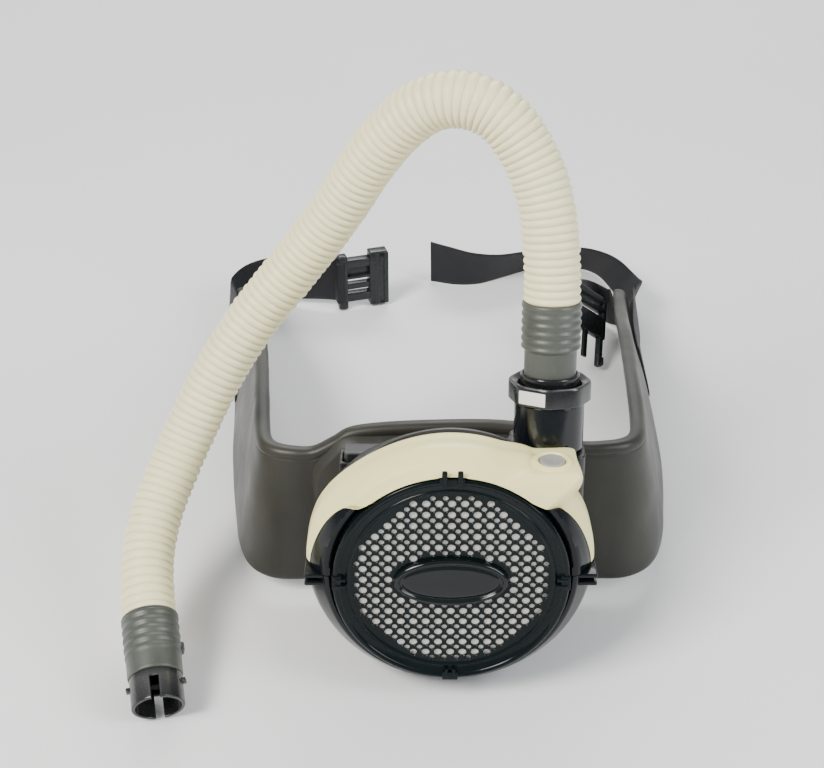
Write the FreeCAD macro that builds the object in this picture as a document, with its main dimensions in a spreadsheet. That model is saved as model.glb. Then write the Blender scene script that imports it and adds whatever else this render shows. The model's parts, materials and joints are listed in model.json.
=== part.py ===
import FreeCAD, Part
import math
import os
import Sketcher
from FreeCAD import Vector, Rotation, Placement

# ---------------------------------------------------------------------------
# Belt-worn powered air respirator.
#
# Design frame (D): the round blower stands upright, its axis runs along Y at
# height axis_up, y = 0 is the front plane of the filter cover, +X is the side
# with the air outlet.  The whole respirator rests leaning back by lean_deg, on
# the rim of its blower, the lower edge of its belt and the end of its hose, so
# every sub-part gets one common Placement, LEAN, on top of its own.
# ---------------------------------------------------------------------------
doc = FreeCAD.newDocument("respirator")
sheet = doc.addObject("Spreadsheet::Sheet", "Sizes")

SIZES = [
    # whole object
    ("lean_deg", 7.0), ("shift_x", 3.16), ("shift_y", -309.77), ("lift_z", 4.63),
    # blower drum
    ("axis_up", 98.0), ("drum_r", 98.0), ("skin_r", 94.2), ("bore_r", 77.6),
    ("wall", 2.5), ("drum_back", 82.0),
    # filter cover, badge and filter
    ("cover_r", 81.5), ("cover_deep", 12.0), ("grille_r", 67.0),
    ("hole_pitch", 8.4), ("big_hole_r", 2.7), ("small_hole_r", 1.55),
    ("badge_long", 38.4), ("badge_short", 18.2),
    ("filter_r", 76.8), ("media_r", 70.5), ("pleat_pitch", 7.0),
    # fan and motor
    ("fan_r", 38.0), ("fan_blades", 21.0), ("shaft_r", 2.0), ("run_gap", 0.05),
    ("rotor_r", 20.0), ("stator_r", 17.6), ("bearing_r", 6.0),
    # outlet, collar and hose
    ("port_x", 66.8), ("port_y", 62.0), ("port_base", 172.0), ("port_tilt", 9.5),
    ("port_r", 24.4), ("port_bore", 21.4), ("collar_r", 27.6), ("collar_low", 27.0),
    ("collar_top", 41.0), ("hose_r", 19.0), ("hose_bore", 15.6),
    ("end_r", 18.2), ("end_bore", 15.7),
    # shoulder and power button
    ("boss_x0", 40.0), ("boss_x1", 87.0), ("boss_y0", 5.0), ("boss_y1", 37.0),
    ("boss_top", 175.0), ("button_r", 8.4), ("button_x", 66.5), ("button_y", 20.0),
    # battery
    ("pack_x0", -74.0), ("pack_x1", 37.0), ("pack_y0", 85.2), ("pack_y1", 100.6),
    ("pack_z0", 54.0), ("pack_z1", 146.0),
    # belt
    ("pad_thick", 12.0), ("web_thick", 1.8), ("web_wide", 47.0),
]
for row, (alias, value) in enumerate(SIZES, start=1):
    sheet.set("A%d" % row, alias)
    sheet.set("B%d" % row, str(value))
    sheet.setAlias("B%d" % row, alias)
doc.recompute()


class Size:
    """A length that carries its number and the sheet expression it comes from."""

    def __init__(self, value, text):
        self.value = float(value)
        self.text = text

    @staticmethod
    def of(other):
        if isinstance(other, Size):
            return other
        return Size(other, "(%.6g)" % other)

    def _mix(self, other, sign, value):
        return Size(value, "(%s %s %s)" % (self.text, sign, Size.of(other).text))

    def __add__(self, other):
        return self._mix(other, "+", self.value + Size.of(other).value)

    def __sub__(self, other):
        return self._mix(other, "-", self.value - Size.of(other).value)

    def __mul__(self, other):
        return self._mix(other, "*", self.value * Size.of(other).value)

    def __truediv__(self, other):
        return self._mix(other, "/", self.value / Size.of(other).value)


class Sheet:
    def __getattr__(self, alias):
        return Size(sheet.get(alias), "Sizes." + alias)


P = Sheet()


def num(x):
    return x.value if isinstance(x, Size) else float(x)


def bind(obj, prop, x):
    setattr(obj, prop, num(x))
    if isinstance(x, Size):
        obj.setExpression(prop, x.text)


LEAN = Placement(Vector(num(P.shift_x), num(P.shift_y), num(P.lift_z)),
                 Rotation(Vector(1, 0, 0), -num(P.lean_deg)))
AXIS_UP = num(P.axis_up)
finished = []          # (label, object), in the order they are made


def done(obj, label):
    """Names a sub-part, and leans it with the rest of the respirator."""
    obj.Label = label
    obj.Placement = LEAN.multiply(obj.Placement)
    finished.append((label, obj))
    return obj


def frame_of(origin, xdir, zdir):
    x = Vector(*xdir).normalize()
    z = Vector(*zdir).normalize()
    y = z.cross(x)
    m = FreeCAD.Matrix(x.x, y.x, z.x, origin[0],
                       x.y, y.y, z.y, origin[1],
                       x.z, y.z, z.z, origin[2],
                       0, 0, 0, 1)
    return Placement(m)


def disc_frame(theta=0.0):
    """Local Z runs back along the blower axis, local X points out at theta."""
    a = math.radians(theta)
    return frame_of((0, 0, AXIS_UP), (math.cos(a), 0, math.sin(a)), (0, 1, 0))


TILT = math.radians(num(P.port_tilt))
PORT_DIR = (0, math.sin(TILT), math.cos(TILT))
PORT_BASE = (num(P.port_x), num(P.port_y), num(P.port_base) + 1.0)
PORT = frame_of(PORT_BASE, (1, 0, 0), PORT_DIR)


def plane_of(body, role):
    return [o for o in body.Origin.OriginFeatures if o.Role == role][0]


def polygon_sketch(body, role, points, name="Profile", offset=0.0):
    sk = body.newObject("Sketcher::SketchObject", name)
    sk.AttachmentSupport = [(plane_of(body, role), "")]
    sk.MapMode = "FlatFace"
    if offset:
        sk.AttachmentOffset = Placement(Vector(0, 0, offset), Rotation())
    n = len(points)
    for i in range(n):
        a, b = points[i], points[(i + 1) % n]
        sk.addGeometry(Part.LineSegment(Vector(num(a[0]), num(a[1]), 0),
                                        Vector(num(b[0]), num(b[1]), 0)), False)
    for i in range(n):
        sk.addConstraint(Sketcher.Constraint("Coincident", i, 2, (i + 1) % n, 1))
    for i, (u, v) in enumerate(points):
        for kind, w in (("DistanceX", u), ("DistanceY", v)):
            k = sk.addConstraint(Sketcher.Constraint(kind, -1, 1, i, 1, num(w)))
            if isinstance(w, Size):
                sk.setExpression("Constraints[%d]" % k, w.text)
    return sk


def circle_sketch(body, role, radii, name="Rings", offset=0.0):
    sk = body.newObject("Sketcher::SketchObject", name)
    sk.AttachmentSupport = [(plane_of(body, role), "")]
    sk.MapMode = "FlatFace"
    if offset:
        sk.AttachmentOffset = Placement(Vector(0, 0, offset), Rotation())
    for i, r in enumerate(radii):
        sk.addGeometry(Part.Circle(Vector(0, 0, 0), Vector(0, 0, 1), num(r)), False)
        sk.addConstraint(Sketcher.Constraint("Coincident", i, 3, -1, 1))
        k = sk.addConstraint(Sketcher.Constraint("Radius", i, num(r)))
        if isinstance(r, Size):
            sk.setExpression("Constraints[%d]" % k, r.text)
    return sk


def turned(name, points, where, angle=360.0):
    """A PartDesign body turned about its local Z from a closed (r, z) profile."""
    body = doc.addObject("PartDesign::Body", name)
    sk = polygon_sketch(body, "XZ_Plane", points)
    rev = body.newObject("PartDesign::Revolution", name + "_turn")
    rev.Profile = sk
    rev.ReferenceAxis = (sk, ["V_Axis"])
    rev.Angle = angle
    if angle < 360:
        rev.Midplane = True
    body.Placement = where
    return body


def padded(name, points, where, z0, z1):
    """A PartDesign body padded along its local Z from a closed (x, y) outline."""
    body = doc.addObject("PartDesign::Body", name)
    sk = polygon_sketch(body, "XY_Plane", points, offset=num(z0))
    pad = body.newObject("PartDesign::Pad", name + "_pad")
    pad.Profile = sk
    bind(pad, "Length", Size.of(z1) - z0 if isinstance(z1, Size) or isinstance(z0, Size)
         else z1 - z0)
    body.Placement = where
    return body


def box(name, x0, x1, y0, y1, z0, z1):
    b = doc.addObject("Part::Box", name)
    for prop, lo, hi in (("Length", x0, x1), ("Width", y0, y1), ("Height", z0, z1)):
        if isinstance(lo, Size) or isinstance(hi, Size):
            bind(b, prop, Size.of(hi) - lo)
        else:
            bind(b, prop, hi - lo)
    b.Placement = Placement(Vector(num(x0), num(y0), num(z0)), Rotation())
    return b


def rod(name, r, h, where):
    c = doc.addObject("Part::Cylinder", name)
    bind(c, "Radius", r)
    bind(c, "Height", h)
    c.Placement = where
    return c


def along(origin, direction):
    """A placement whose local Z is the given direction."""
    d = Vector(*direction).normalize()
    ref = (1, 0, 0) if abs(d.x) < 0.9 else (0, 0, 1)
    x = Vector(*ref) - d * d.dot(Vector(*ref))
    return frame_of(origin, (x.x, x.y, x.z), (d.x, d.y, d.z))


def fuse(name, *shapes):
    f = doc.addObject("Part::MultiFuse", name)
    f.Shapes = list(shapes)
    return f


def cut(name, base, *tools):
    tool = tools[0] if len(tools) == 1 else fuse(name + "_tools", *tools)
    c = doc.addObject("Part::Cut", name)
    c.Base = base
    c.Tool = tool
    return c


def common(name, a, b):
    c = doc.addObject("Part::MultiCommon", name)
    c.Shapes = [a, b]
    return c


def rounded(name, base, radius, pick):
    """Fillets the edges of base that pick(edge) accepts."""
    doc.recompute()
    f = doc.addObject("Part::Fillet", name)
    f.Base = base
    f.Edges = [(i + 1, radius, radius) for i, e in enumerate(base.Shape.Edges) if pick(e)]
    return f


def upright_edge(e):
    v = e.Vertexes
    return len(v) == 2 and abs(v[0].X - v[1].X) < 1e-6 and abs(v[0].Y - v[1].Y) < 1e-6


def solid_feature(name, shape):
    f = doc.addObject("Part::Feature", name)
    f.Shape = shape
    return f


# ---------------------------------------------------------------------------
# Filter cover: a dished rim round a perforated grille, with four snap tabs
# ---------------------------------------------------------------------------
cover_turn = turned("cover_turn", [
    (0, 3.4), (P.grille_r, 3.4), (P.grille_r + 1.5, 1.6), (P.cover_r - 3.0, 0.0),
    (P.cover_r - 0.9, 0.6), (P.cover_r, 2.0), (P.cover_r, P.cover_deep),
    (P.cover_r - 2.5, P.cover_deep), (P.cover_r - 2.5, 3.4), (P.grille_r + 2.5, 4.6),
    (P.grille_r + 1.2, 5.6), (0, 5.6)], disc_frame())

pitch = num(P.hole_pitch)
big, small = num(P.big_hole_r), num(P.small_hole_r)
reach = num(P.grille_r) - 1.2
holes = []
for row in range(-18, 19):
    for col in range(-18, 19):
        if (row + col) % 2:
            continue
        u, v = col * pitch / 2.0, row * pitch / 2.0
        r = big if row % 2 == 0 else small
        if math.hypot(u, v) + r > reach:
            continue
        if (u / (num(P.badge_long) + 2.6)) ** 2 + (v / (num(P.badge_short) + 2.6)) ** 2 < 1:
            continue
        holes.append(Part.makeCylinder(r, 6.0, Vector(u, 1.5, AXIS_UP + v), Vector(0, 1, 0)))
hole_field = solid_feature("cover_holes", Part.makeCompound(holes))
tabs = []
for k, (a, b) in enumerate(((1, 0), (0, 1), (-1, 0), (0, -1))):
    if a:
        tabs.append(box("cover_tab%d" % k, 76.0 if a > 0 else -82.3, 82.3 if a > 0 else -76.0,
                        -0.6, 8.0, AXIS_UP - 5.0, AXIS_UP + 5.0))
    else:
        tabs.append(box("cover_tab%d" % k, -6.0, 6.0, -0.6, 8.0,
                        AXIS_UP + (76.0 if b > 0 else -82.3), AXIS_UP + (82.3 if b > 0 else -76.0)))
for k, x in enumerate((-8.2, 4.6)):
    tabs.append(box("cover_prong%d" % k, x, x + 3.6, 2.0, 13.0, AXIS_UP + 79.5, AXIS_UP + 85.8))
cover = cut("filter_cover", fuse("cover_with_tabs", cover_turn, *tabs),
            hole_field,
            rod("cover_inner", P.cover_r - 2.6, 12.0, along((0, 5.7, AXIS_UP), (0, 1, 0))))
done(cover, "filter_cover")

ell = doc.addObject("Part::Ellipse", "badge_outline")
bind(ell, "MajorRadius", P.badge_long)
bind(ell, "MinorRadius", P.badge_short)
ell.Placement = frame_of((0, 3.4, AXIS_UP), (1, 0, 0), (0, -1, 0))
badge = doc.addObject("Part::Extrusion", "badge")
badge.Base = ell
badge.DirMode = "Custom"
badge.Dir = Vector(0, -1, 0)
badge.LengthFwd = 4.7
badge.Solid = True
done(badge, "cover_badge")

# ---------------------------------------------------------------------------
# Filter cartridge behind the cover
# ---------------------------------------------------------------------------
done(turned("prefilter", [(0, 6.0), (74.0, 6.0), (74.0, 8.8), (0, 8.8)], disc_frame()),
     "prefilter_pad")
done(turned("cartridge", [
    (P.media_r + 0.3, 9.4), (P.filter_r, 9.4), (P.filter_r, 44.0), (60.0, 44.0),
    (60.0, 41.9), (P.media_r + 0.3, 41.9)], disc_frame()), "filter_cartridge")
rr = num(P.media_r)
pp = num(P.pleat_pitch)
front, back = [], []
count = int(2 * rr / pp) * 2
for i in range(count + 1):
    u = -rr + i * pp / 2.0 + 0.4
    y = 10.3 if i % 2 else 39.8
    front.append(Vector(u, y, 0))
    back.append(Vector(u, y + 1.7, 0))
pleat = Part.makePolygon(front + back[::-1] + [front[0]])
pleats = Part.Face(pleat).extrude(Vector(0, 0, 2 * rr + 4))
pleats.translate(Vector(0, 0, AXIS_UP - rr - 2))
media = solid_feature("media", pleats.common(
    Part.makeCylinder(rr, 60, Vector(0, 0, AXIS_UP), Vector(0, 1, 0))))
done(media, "filter_media")
done(turned("gasket", [(61.0, 44.2), (75.0, 44.2), (75.0, 46.9), (61.0, 46.9)], disc_frame()),
     "filter_gasket")

# ---------------------------------------------------------------------------
# Drum: black front ring, cream upper shell, black rear housing
# ---------------------------------------------------------------------------
ring = turned("ring_core", [
    (P.bore_r, 12.7), (82.2, 12.7), (82.2, 9.6), (83.2, 9.0), (91.6, 22.0),
    (P.skin_r, 30.0), (P.skin_r, 38.0), (91.4, 38.0), (91.4, 30.6), (89.0, 23.2),
    (81.8, 15.4), (P.bore_r + 2.5, 15.4), (P.bore_r + 2.5, 47.0), (P.bore_r, 47.0)],
    disc_frame())
skirt = turned("ring_skirt", [
    (83.0, 9.6), (84.8, 8.2), (95.0, 22.0), (P.drum_r, 30.0), (P.drum_r, 38.0),
    (93.0, 38.0), (93.0, 30.0), (90.8, 22.4)], disc_frame(-90), 180)
ears = [turned("ring_ear%d" % i, [
    (83.0, 9.6), (84.8, 8.2), (95.0, 22.0), (95.6, 24.0), (91.4, 25.0)],
    disc_frame(a), 40) for i, a in enumerate((20, 160))]
clips = []
for i, side in enumerate((1, -1)):
    for j, dz in enumerate((-6.5, 3.5)):
        x0, x1 = (85.0, 98.6) if side > 0 else (-98.6, -85.0)
        clips.append(box("ring_clip%d%d" % (i, j), x0, x1, 13.0, 30.0,
                         AXIS_UP + dz, AXIS_UP + dz + 3.0))
ring_all = cut("front_ring", fuse("ring_parts", ring, skirt, *(ears + clips)),
               rod("ring_bore", P.bore_r, 60, along((0, 0, AXIS_UP), (0, 1, 0))),
               box("ring_notch", -9.0, 9.0, 4.0, 14.5, AXIS_UP + 78.4, AXIS_UP + 86.6),
               rod("ring_button_room", P.button_r + 2.4, 16,
                   along((num(P.button_x), num(P.button_y), 164.5), (0, 0, 1))))
done(ring_all, "front_ring")

cream = turned("shell_arc", [
    (83.75, 8.9), (85.0, 7.9), (95.0, 22.0), (P.drum_r, 30.0), (P.drum_r, 37.0),
    (P.drum_r - 1.8, 40.0), (P.skin_r + 0.4, 40.0), (P.skin_r + 0.4, 29.9), (92.05, 21.8)],
    disc_frame(90), 179.6)
boss_block = rounded("boss_round", box("boss_block", P.boss_x0, P.boss_x1, P.boss_y0, P.boss_y1,
                                       128.0, P.boss_top), 9.0,
                     lambda e: upright_edge(e) and e.Vertexes[0].Y < 10)
boss_soft = rounded("boss_soft", boss_block, 4.0,
                    lambda e: all(abs(v.Z - num(P.boss_top)) < 1e-6 for v in e.Vertexes)
                    and e.BoundBox.YMin < 36.0)
boss_room = box("boss_room", P.boss_x0 + 3.0, P.boss_x1 - P.wall, P.boss_y0 + P.wall, 45.0,
                120.0, P.boss_top - P.wall)
keepout = turned("shell_keepout", [
    (0, -8), (82.7, -8), (82.7, 9.0), (83.75, 8.9), (92.05, 21.8), (P.skin_r + 0.4, 29.9),
    (P.skin_r + 0.4, 60.0), (0, 60.0)], disc_frame())
boss_open = box("boss_open", P.boss_x0 + 3.0, P.boss_x1 - P.wall, P.boss_y0 + P.wall, 45.0,
                131.0, P.boss_top - P.wall)
shell = fuse("shell_parts", cut("shell_arc_open", cream, boss_open),
             cut("boss_skin", boss_soft, boss_room, keepout))
shell_ears = [turned("shell_ear%d" % i, [
    (80.0, 5.0), (87.0, 5.0), (96.0, 21.6), (96.0, 24.4), (88.0, 26.5)],
    disc_frame(a), 40.6) for i, a in enumerate((20, 160))]
shell_cut = cut("upper_shell", shell, shell_ears[0], shell_ears[1],
    rod("button_hole", P.button_r + 0.35, 12, along((num(P.button_x), num(P.button_y), 168), (0, 0, 1))),
    box("tab_notch", -9.0, 9.0, 4.0, 14.5, AXIS_UP + 78, AXIS_UP + 86.6),
    *[box("clip_notch%d" % i, 80.0 if s > 0 else -99.0, 99.0 if s > 0 else -80.0, 12.5, 30.5,
          AXIS_UP - 7.0, AXIS_UP + 7.0) for i, s in enumerate((1, -1))])
done(shell_cut, "upper_shell")

bowl_out = [(93.8, 38.3), (93.8, 44.0), (90.0, 60.0), (84.0, 76.0), (80.0, P.drum_back),
            (0, P.drum_back)]
bowl_in = [(0, P.drum_back - P.wall), (78.4, P.drum_back - P.wall), (81.5, 75.0),
           (87.4, 59.4), (91.2, 43.8), (91.2, 38.3)]
bowl = turned("rear_bowl", bowl_out + bowl_in, disc_frame())
hollow = turned("rear_hollow", [(0, 38.0), (91.2, 38.0), (91.2, 43.8), (87.4, 59.4),
                                (81.5, 75.0), (78.4, P.drum_back - P.wall),
                                (0, P.drum_back - P.wall)], disc_frame())
tower = rounded("tower_round", box("tower_block", 41.5, 91.0, 40.4, 90.0, 120.0, P.port_base),
                6.0, upright_edge)
tower_room = box("tower_room", 44.0, 88.5, 43.0, 87.5, 118.0, P.port_base - P.wall)
rear = cut("rear_housing", fuse("rear_parts", bowl, cut("tower_skin", tower, hollow)),
           cut("tower_void", tower_room,
               box("tower_floor", -200, 200, 79.4, 82.1, 0, 160)),
           rod("port_hole", P.port_bore, 60, along((PORT_BASE[0], PORT_BASE[1] - 3.4, 152), PORT_DIR)),
           *[rod("screw_hole%d" % i, 1.7, 12,
                 along((66 * math.cos(math.radians(a)), 74, AXIS_UP + 66 * math.sin(math.radians(a))),
                       (0, 1, 0))) for i, a in enumerate((5, 150, 215, 325))])
done(rear, "rear_housing")

screws = []
for i, a in enumerate((5, 150, 215, 325)):
    cx, cz = 66 * math.cos(math.radians(a)), AXIS_UP + 66 * math.sin(math.radians(a))
    shank = rod("screw_shank%d" % i, 1.5, 7.0, along((cx, 75.2, cz), (0, 1, 0)))
    head = rod("screw_head%d" % i, 3.2, 1.8, along((cx, num(P.drum_back) + 0.05, cz), (0, 1, 0)))
    slot = box("screw_slot%d" % i, cx - 2.2, cx + 2.2, num(P.drum_back) + 1.1, num(P.drum_back) + 3,
               cz - 0.4, cz + 0.4)
    screws.append(cut("screw%d" % i, fuse("screw_blank%d" % i, shank, head), slot))
group = doc.addObject("Part::Compound", "case_screw_group")
group.Links = screws
done(group, "case_screws")

# ---------------------------------------------------------------------------
# Inlet bulkhead, guard and scroll
# ---------------------------------------------------------------------------
done(turned("bulkhead", [(30.0, 47.2), (88.0, 47.2), (88.0, 49.4), (30.0, 49.4)], disc_frame()),
     "inlet_plate")
guard_ring = turned("guard_ring", [(27.0, 47.3), (29.9, 47.3), (29.9, 49.2), (27.0, 49.2)],
                    disc_frame())
guard_hub = turned("guard_hub", [(0, 47.3), (6.0, 47.3), (6.0, 49.2), (0, 49.2)], disc_frame())
spokes = []
for i, a in enumerate((0, 60, 120)):
    s = box("guard_spoke%d" % i, -28.0, 28.0, -0.9, 0.9, 0.0, 1.9)
    s.Placement = disc_frame(a).multiply(Placement(Vector(-28.0, -0.9, 47.3), Rotation()))
    spokes.append(s)
done(fuse("inlet_guard", guard_ring, guard_hub, *spokes), "inlet_guard")


def scroll_outline(inset):
    """Spiral of the fan scroll, growing anticlockwise from its cut-off to the outlet."""
    pts = []
    for k in range(0, 60):
        a = 65.0 + 295.0 * k / 59.0
        r = 43.0 + 31.0 * (a - 65.0) / 295.0 - inset
        pts.append(Vector(r * math.cos(math.radians(a)), 0, r * math.sin(math.radians(a))))
    top = 52.0 + (2.0 if inset else 0.0)
    tail = [Vector(78.0 - inset, 0, 36.0), Vector(78.0 - inset, 0, top),
            Vector(47.0 + inset, 0, top), Vector(47.0 + inset, 0, 40.0 - inset * 0.3)]
    wire = Part.makePolygon(pts + tail + [pts[0]])
    return Part.Face(wire)


outer = scroll_outline(0.0)
inner = scroll_outline(2.0)
outer.translate(Vector(0, 0, AXIS_UP))
inner.translate(Vector(0, 0, AXIS_UP))
case = outer.copy()
case.translate(Vector(0, 51.7, 0))
room = inner.copy()
room.translate(Vector(0, 51.7, 0))
case = case.extrude(Vector(0, 22.8, 0)).cut(room.extrude(Vector(0, 20.8, 0)))
case = case.cut(Part.makeCylinder(16.2, 10, Vector(0, 71, AXIS_UP), Vector(0, 1, 0)))
done(solid_feature("scroll", case), "scroll_case")
lid = outer.copy()
lid.translate(Vector(0, 49.6, 0))
lid = lid.extrude(Vector(0, 2.0, 0)).cut(
    Part.makeCylinder(31.0, 10, Vector(0, 45, AXIS_UP), Vector(0, 1, 0)))
done(solid_feature("lid", lid), "scroll_lid")
duct = cut("outlet_duct", box("duct_block", 46.6, 78.4, 49.7, 74.6, 150.4, 166.0),
           box("duct_room", 48.6, 76.4, 51.7, 72.6, 149.0, 170.0))
done(duct, "outlet_duct")

# ---------------------------------------------------------------------------
# Fan, shaft, bearings and motor
# ---------------------------------------------------------------------------
fan = doc.addObject("PartDesign::Body", "fan")
sk = polygon_sketch(fan, "XZ_Plane", [(P.rotor_r, 57.0), (P.rotor_r + 2.4, 57.0),
                                      (P.rotor_r + 2.4, 68.6), (P.fan_r, 68.6),
                                      (P.fan_r, 70.0), (P.rotor_r, 70.0)])
rev = fan.newObject("PartDesign::Revolution", "fan_back")
rev.Profile = sk
rev.ReferenceAxis = (sk, ["V_Axis"])
rev.Angle = 360
blade_pts = [(25.0, -1.0), (P.fan_r - 0.5, 6.2), (P.fan_r - 0.3, 7.6), (24.6, 0.5)]
sk = polygon_sketch(fan, "XY_Plane", blade_pts, "BladeOutline", offset=54.6)
blade = fan.newObject("PartDesign::Pad", "fan_blade")
blade.Profile = sk
blade.Length = 14.4
doc.recompute()
spread = fan.newObject("PartDesign::PolarPattern", "fan_spread")
spread.Originals = [blade]
spread.Axis = (plane_of(fan, "Z_Axis"), [""])
spread.Angle = 360
spread.Occurrences = int(num(P.fan_blades))
fan.Tip = spread
doc.recompute()
sk = polygon_sketch(fan, "XZ_Plane", [(30.0, 53.4), (P.fan_r, 54.6), (P.fan_r, 55.8),
                                      (30.0, 54.8)], "ShroudProfile")
rev = fan.newObject("PartDesign::Revolution", "fan_shroud")
rev.Profile = sk
rev.ReferenceAxis = (sk, ["V_Axis"])
rev.Angle = 360
fan.Placement = disc_frame()
done(fan, "impeller")
done(turned("rotor", [(P.shaft_r, 58.0), (P.rotor_r, 58.0), (P.rotor_r, 70.0),
                      (P.rotor_r - 1.6, 70.0), (P.rotor_r - 1.6, 59.6), (P.shaft_r, 59.6)],
            disc_frame()), "rotor_cup")
done(turned("shaft", [(0, 56.8), (P.shaft_r, 56.8), (P.shaft_r, 71.4), (0, 71.4)], disc_frame()),
     "motor_shaft")
for name, y0 in (("front_bearing", 60.6), ("rear_bearing", 67.4)):
    done(turned(name + "_race", [(P.shaft_r + P.run_gap, y0), (P.bearing_r, y0),
                                 (P.bearing_r, y0 + 3.0), (P.shaft_r + P.run_gap, y0 + 3.0)],
                disc_frame()), name)
done(turned("mount", [(P.bearing_r, 60.6), (P.bearing_r + 1.3, 60.6), (P.bearing_r + 1.3, 72.2),
                      (16.0, 72.2), (16.0, 74.4), (P.bearing_r, 74.4)], disc_frame()),
     "motor_mount")
stator_core = turned("stator_core", [(P.bearing_r + 1.3, 61.0), (10.0, 61.0), (10.0, 70.6),
                                     (P.bearing_r + 1.3, 70.6)], disc_frame())
teeth = []
for i in range(9):
    t = box("stator_tooth%d" % i, 0, 8.0, -1.4, 1.4, 0, 8.0)
    t.Placement = disc_frame(i * 40.0).multiply(Placement(Vector(9.4, -1.4, 61.8), Rotation()))
    teeth.append(t)
stator_rim = turned("stator_rim", [(P.stator_r - 1.4, 61.8), (P.stator_r, 61.8),
                                   (P.stator_r, 69.8), (P.stator_r - 1.4, 69.8)], disc_frame())
done(fuse("stator", stator_core, stator_rim, *teeth), "motor_stator")

# ---------------------------------------------------------------------------
# Electronics
# ---------------------------------------------------------------------------
done(box("board", -64.0, -14.0, 76.2, 77.8, 84.0, 127.0), "circuit_board")
chips = doc.addObject("Part::Compound", "chips")
chips.Links = [box("chip0", -52.0, -38.0, 77.85, 79.2, 106.0, 120.0),
               box("chip1", -32.0, -24.0, 77.85, 79.2, 110.0, 116.0),
               box("chip2", -60.0, -55.0, 77.85, 79.3, 98.0, 104.0),
               box("chip3", -30.0, -20.0, 77.85, 79.3, 96.0, 101.0)]
done(chips, "board_components")
done(rod("buzzer", 7.0, 7.0, along((-66.0, 49.6, 120.0), (0, 1, 0))), "alarm_buzzer")

bx, by = num(P.button_x), num(P.button_y)
btop = num(P.boss_top)
button = turned("button", [(0, -5.0), (P.button_r + 1.3, -5.0), (P.button_r + 1.3, -4.0),
                           (P.button_r, -4.0), (P.button_r, -1.6), (P.button_r - 1.2, -0.7),
                           (0, -0.3)], along((bx, by, btop), (0, 0, 1)))
done(button, "power_button")
done(turned("spring", [(3.6, -8.4), (5.0, -8.4), (5.0, -5.05), (3.6, -5.05)],
            along((bx, by, btop), (0, 0, 1))), "button_spring")
switch = fuse("switch", box("switch_body", bx + 0.5, bx + 9.5, by - 3.5, by + 3.0,
                            btop - 12.4, btop - 9.0),
              rod("switch_stem", 1.4, 2.2, along((bx + 1.9, by, btop - 9.4), (0, 0, 1))))
done(switch, "button_switch")

# ---------------------------------------------------------------------------
# Outlet port, O-ring, locking collar and its blank label
# ---------------------------------------------------------------------------
port_tube = turned("port_tube", [(P.port_bore, -9.0), (P.port_r, -9.0), (P.port_r, 25.4),
                                 (P.port_r - 0.6, 26.2), (P.port_r - 0.6, 36.0), (P.port_bore, 36.0)],
                   PORT)
below = box("port_below", 20.0, 120.0, 10.0, 120.0, 120.0, P.port_base + 0.05)
drum_below = turned("port_saddle", [(0, 20), (P.drum_r + 0.1, 20), (P.drum_r + 0.1, 40.2),
                                    (93.9, 40.2), (93.9, 44.05), (90.1, 60.05), (84.1, 76.05),
                                    (80.1, P.drum_back + 0.1), (0, P.drum_back + 0.1)], disc_frame())
done(cut("port", port_tube, below, drum_below), "outlet_port")
done(turned("oring", [(P.port_bore - 1.9, 10.0), (P.port_bore - 0.05, 10.0),
                      (P.port_bore - 0.05, 12.0), (P.port_bore - 1.9, 12.0)], PORT),
     "outlet_oring")
flats = []
for i in range(8):
    a = math.radians(37.0 + 45 * i)
    rad = num(P.collar_r) / math.cos(math.radians(22.5))
    flats.append((rad * math.cos(a), rad * math.sin(a)))
collar_body = padded("collar_body", flats, PORT, P.collar_low, P.collar_top)
collar_bore = turned("collar_bore", [(0, 20), (P.port_r + 0.2, 20), (P.port_r + 0.2, 36.4),
                                     (P.port_bore + 0.35, 36.4), (P.port_bore + 0.35, 50), (0, 50)],
                     PORT)
collar_rim = turned("collar_rim", [(P.collar_r - 1.0, P.collar_top - 4.0),
                                   (P.collar_r + 5, P.collar_top - 4.0),
                                   (P.collar_r + 5, P.collar_top + 1), (P.collar_r - 3.4, P.collar_top + 1)],
                    PORT)
done(cut("collar", collar_body, collar_bore, collar_rim), "locking_collar")
# the label lies on the flat that faces front-left
label_at = PORT.multiply(Placement(Vector(0, 0, 0), Rotation(Vector(0, 0, 1), 239.5)))
lab = doc.addObject("Part::Box", "label")
bind(lab, "Length", 0.35)
lab.Width = 19.6
lab.Height = 8.6
lab.Placement = label_at.multiply(Placement(Vector(num(P.collar_r) + 0.05, -9.8,
                                                   num(P.collar_low) + 1.4), Rotation()))
done(lab, "collar_label")

# ---------------------------------------------------------------------------
# Hose: connector, cuff, corrugated hose, far cuff and slotted connector
# ---------------------------------------------------------------------------
done(turned("connector", [(17.0, 14.0), (19.2, 14.0), (19.2, 18.0), (P.port_bore - 0.2, 18.4),
                          (P.port_bore - 0.2, 43.6), (19.8, 46.4), (15.2, 46.4), (15.2, 70.0),
                          (13.2, 70.0), (13.2, 44.0), (17.0, 40.0)], PORT), "hose_connector")
done(turned("cuff", [(15.3, 46.5), (17.2, 46.5), (17.7, 47.6), (17.7, 61.0), (19.4, 64.0),
                     (20.3, 67.0), (19.2, 70.6), (20.3, 74.2), (19.2, 77.8), (20.3, 81.4),
                     (19.2, 85.0), (20.1, 88.4), (19.6, 94.0), (15.3, 94.0)],
            PORT), "hose_cuff")

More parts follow.
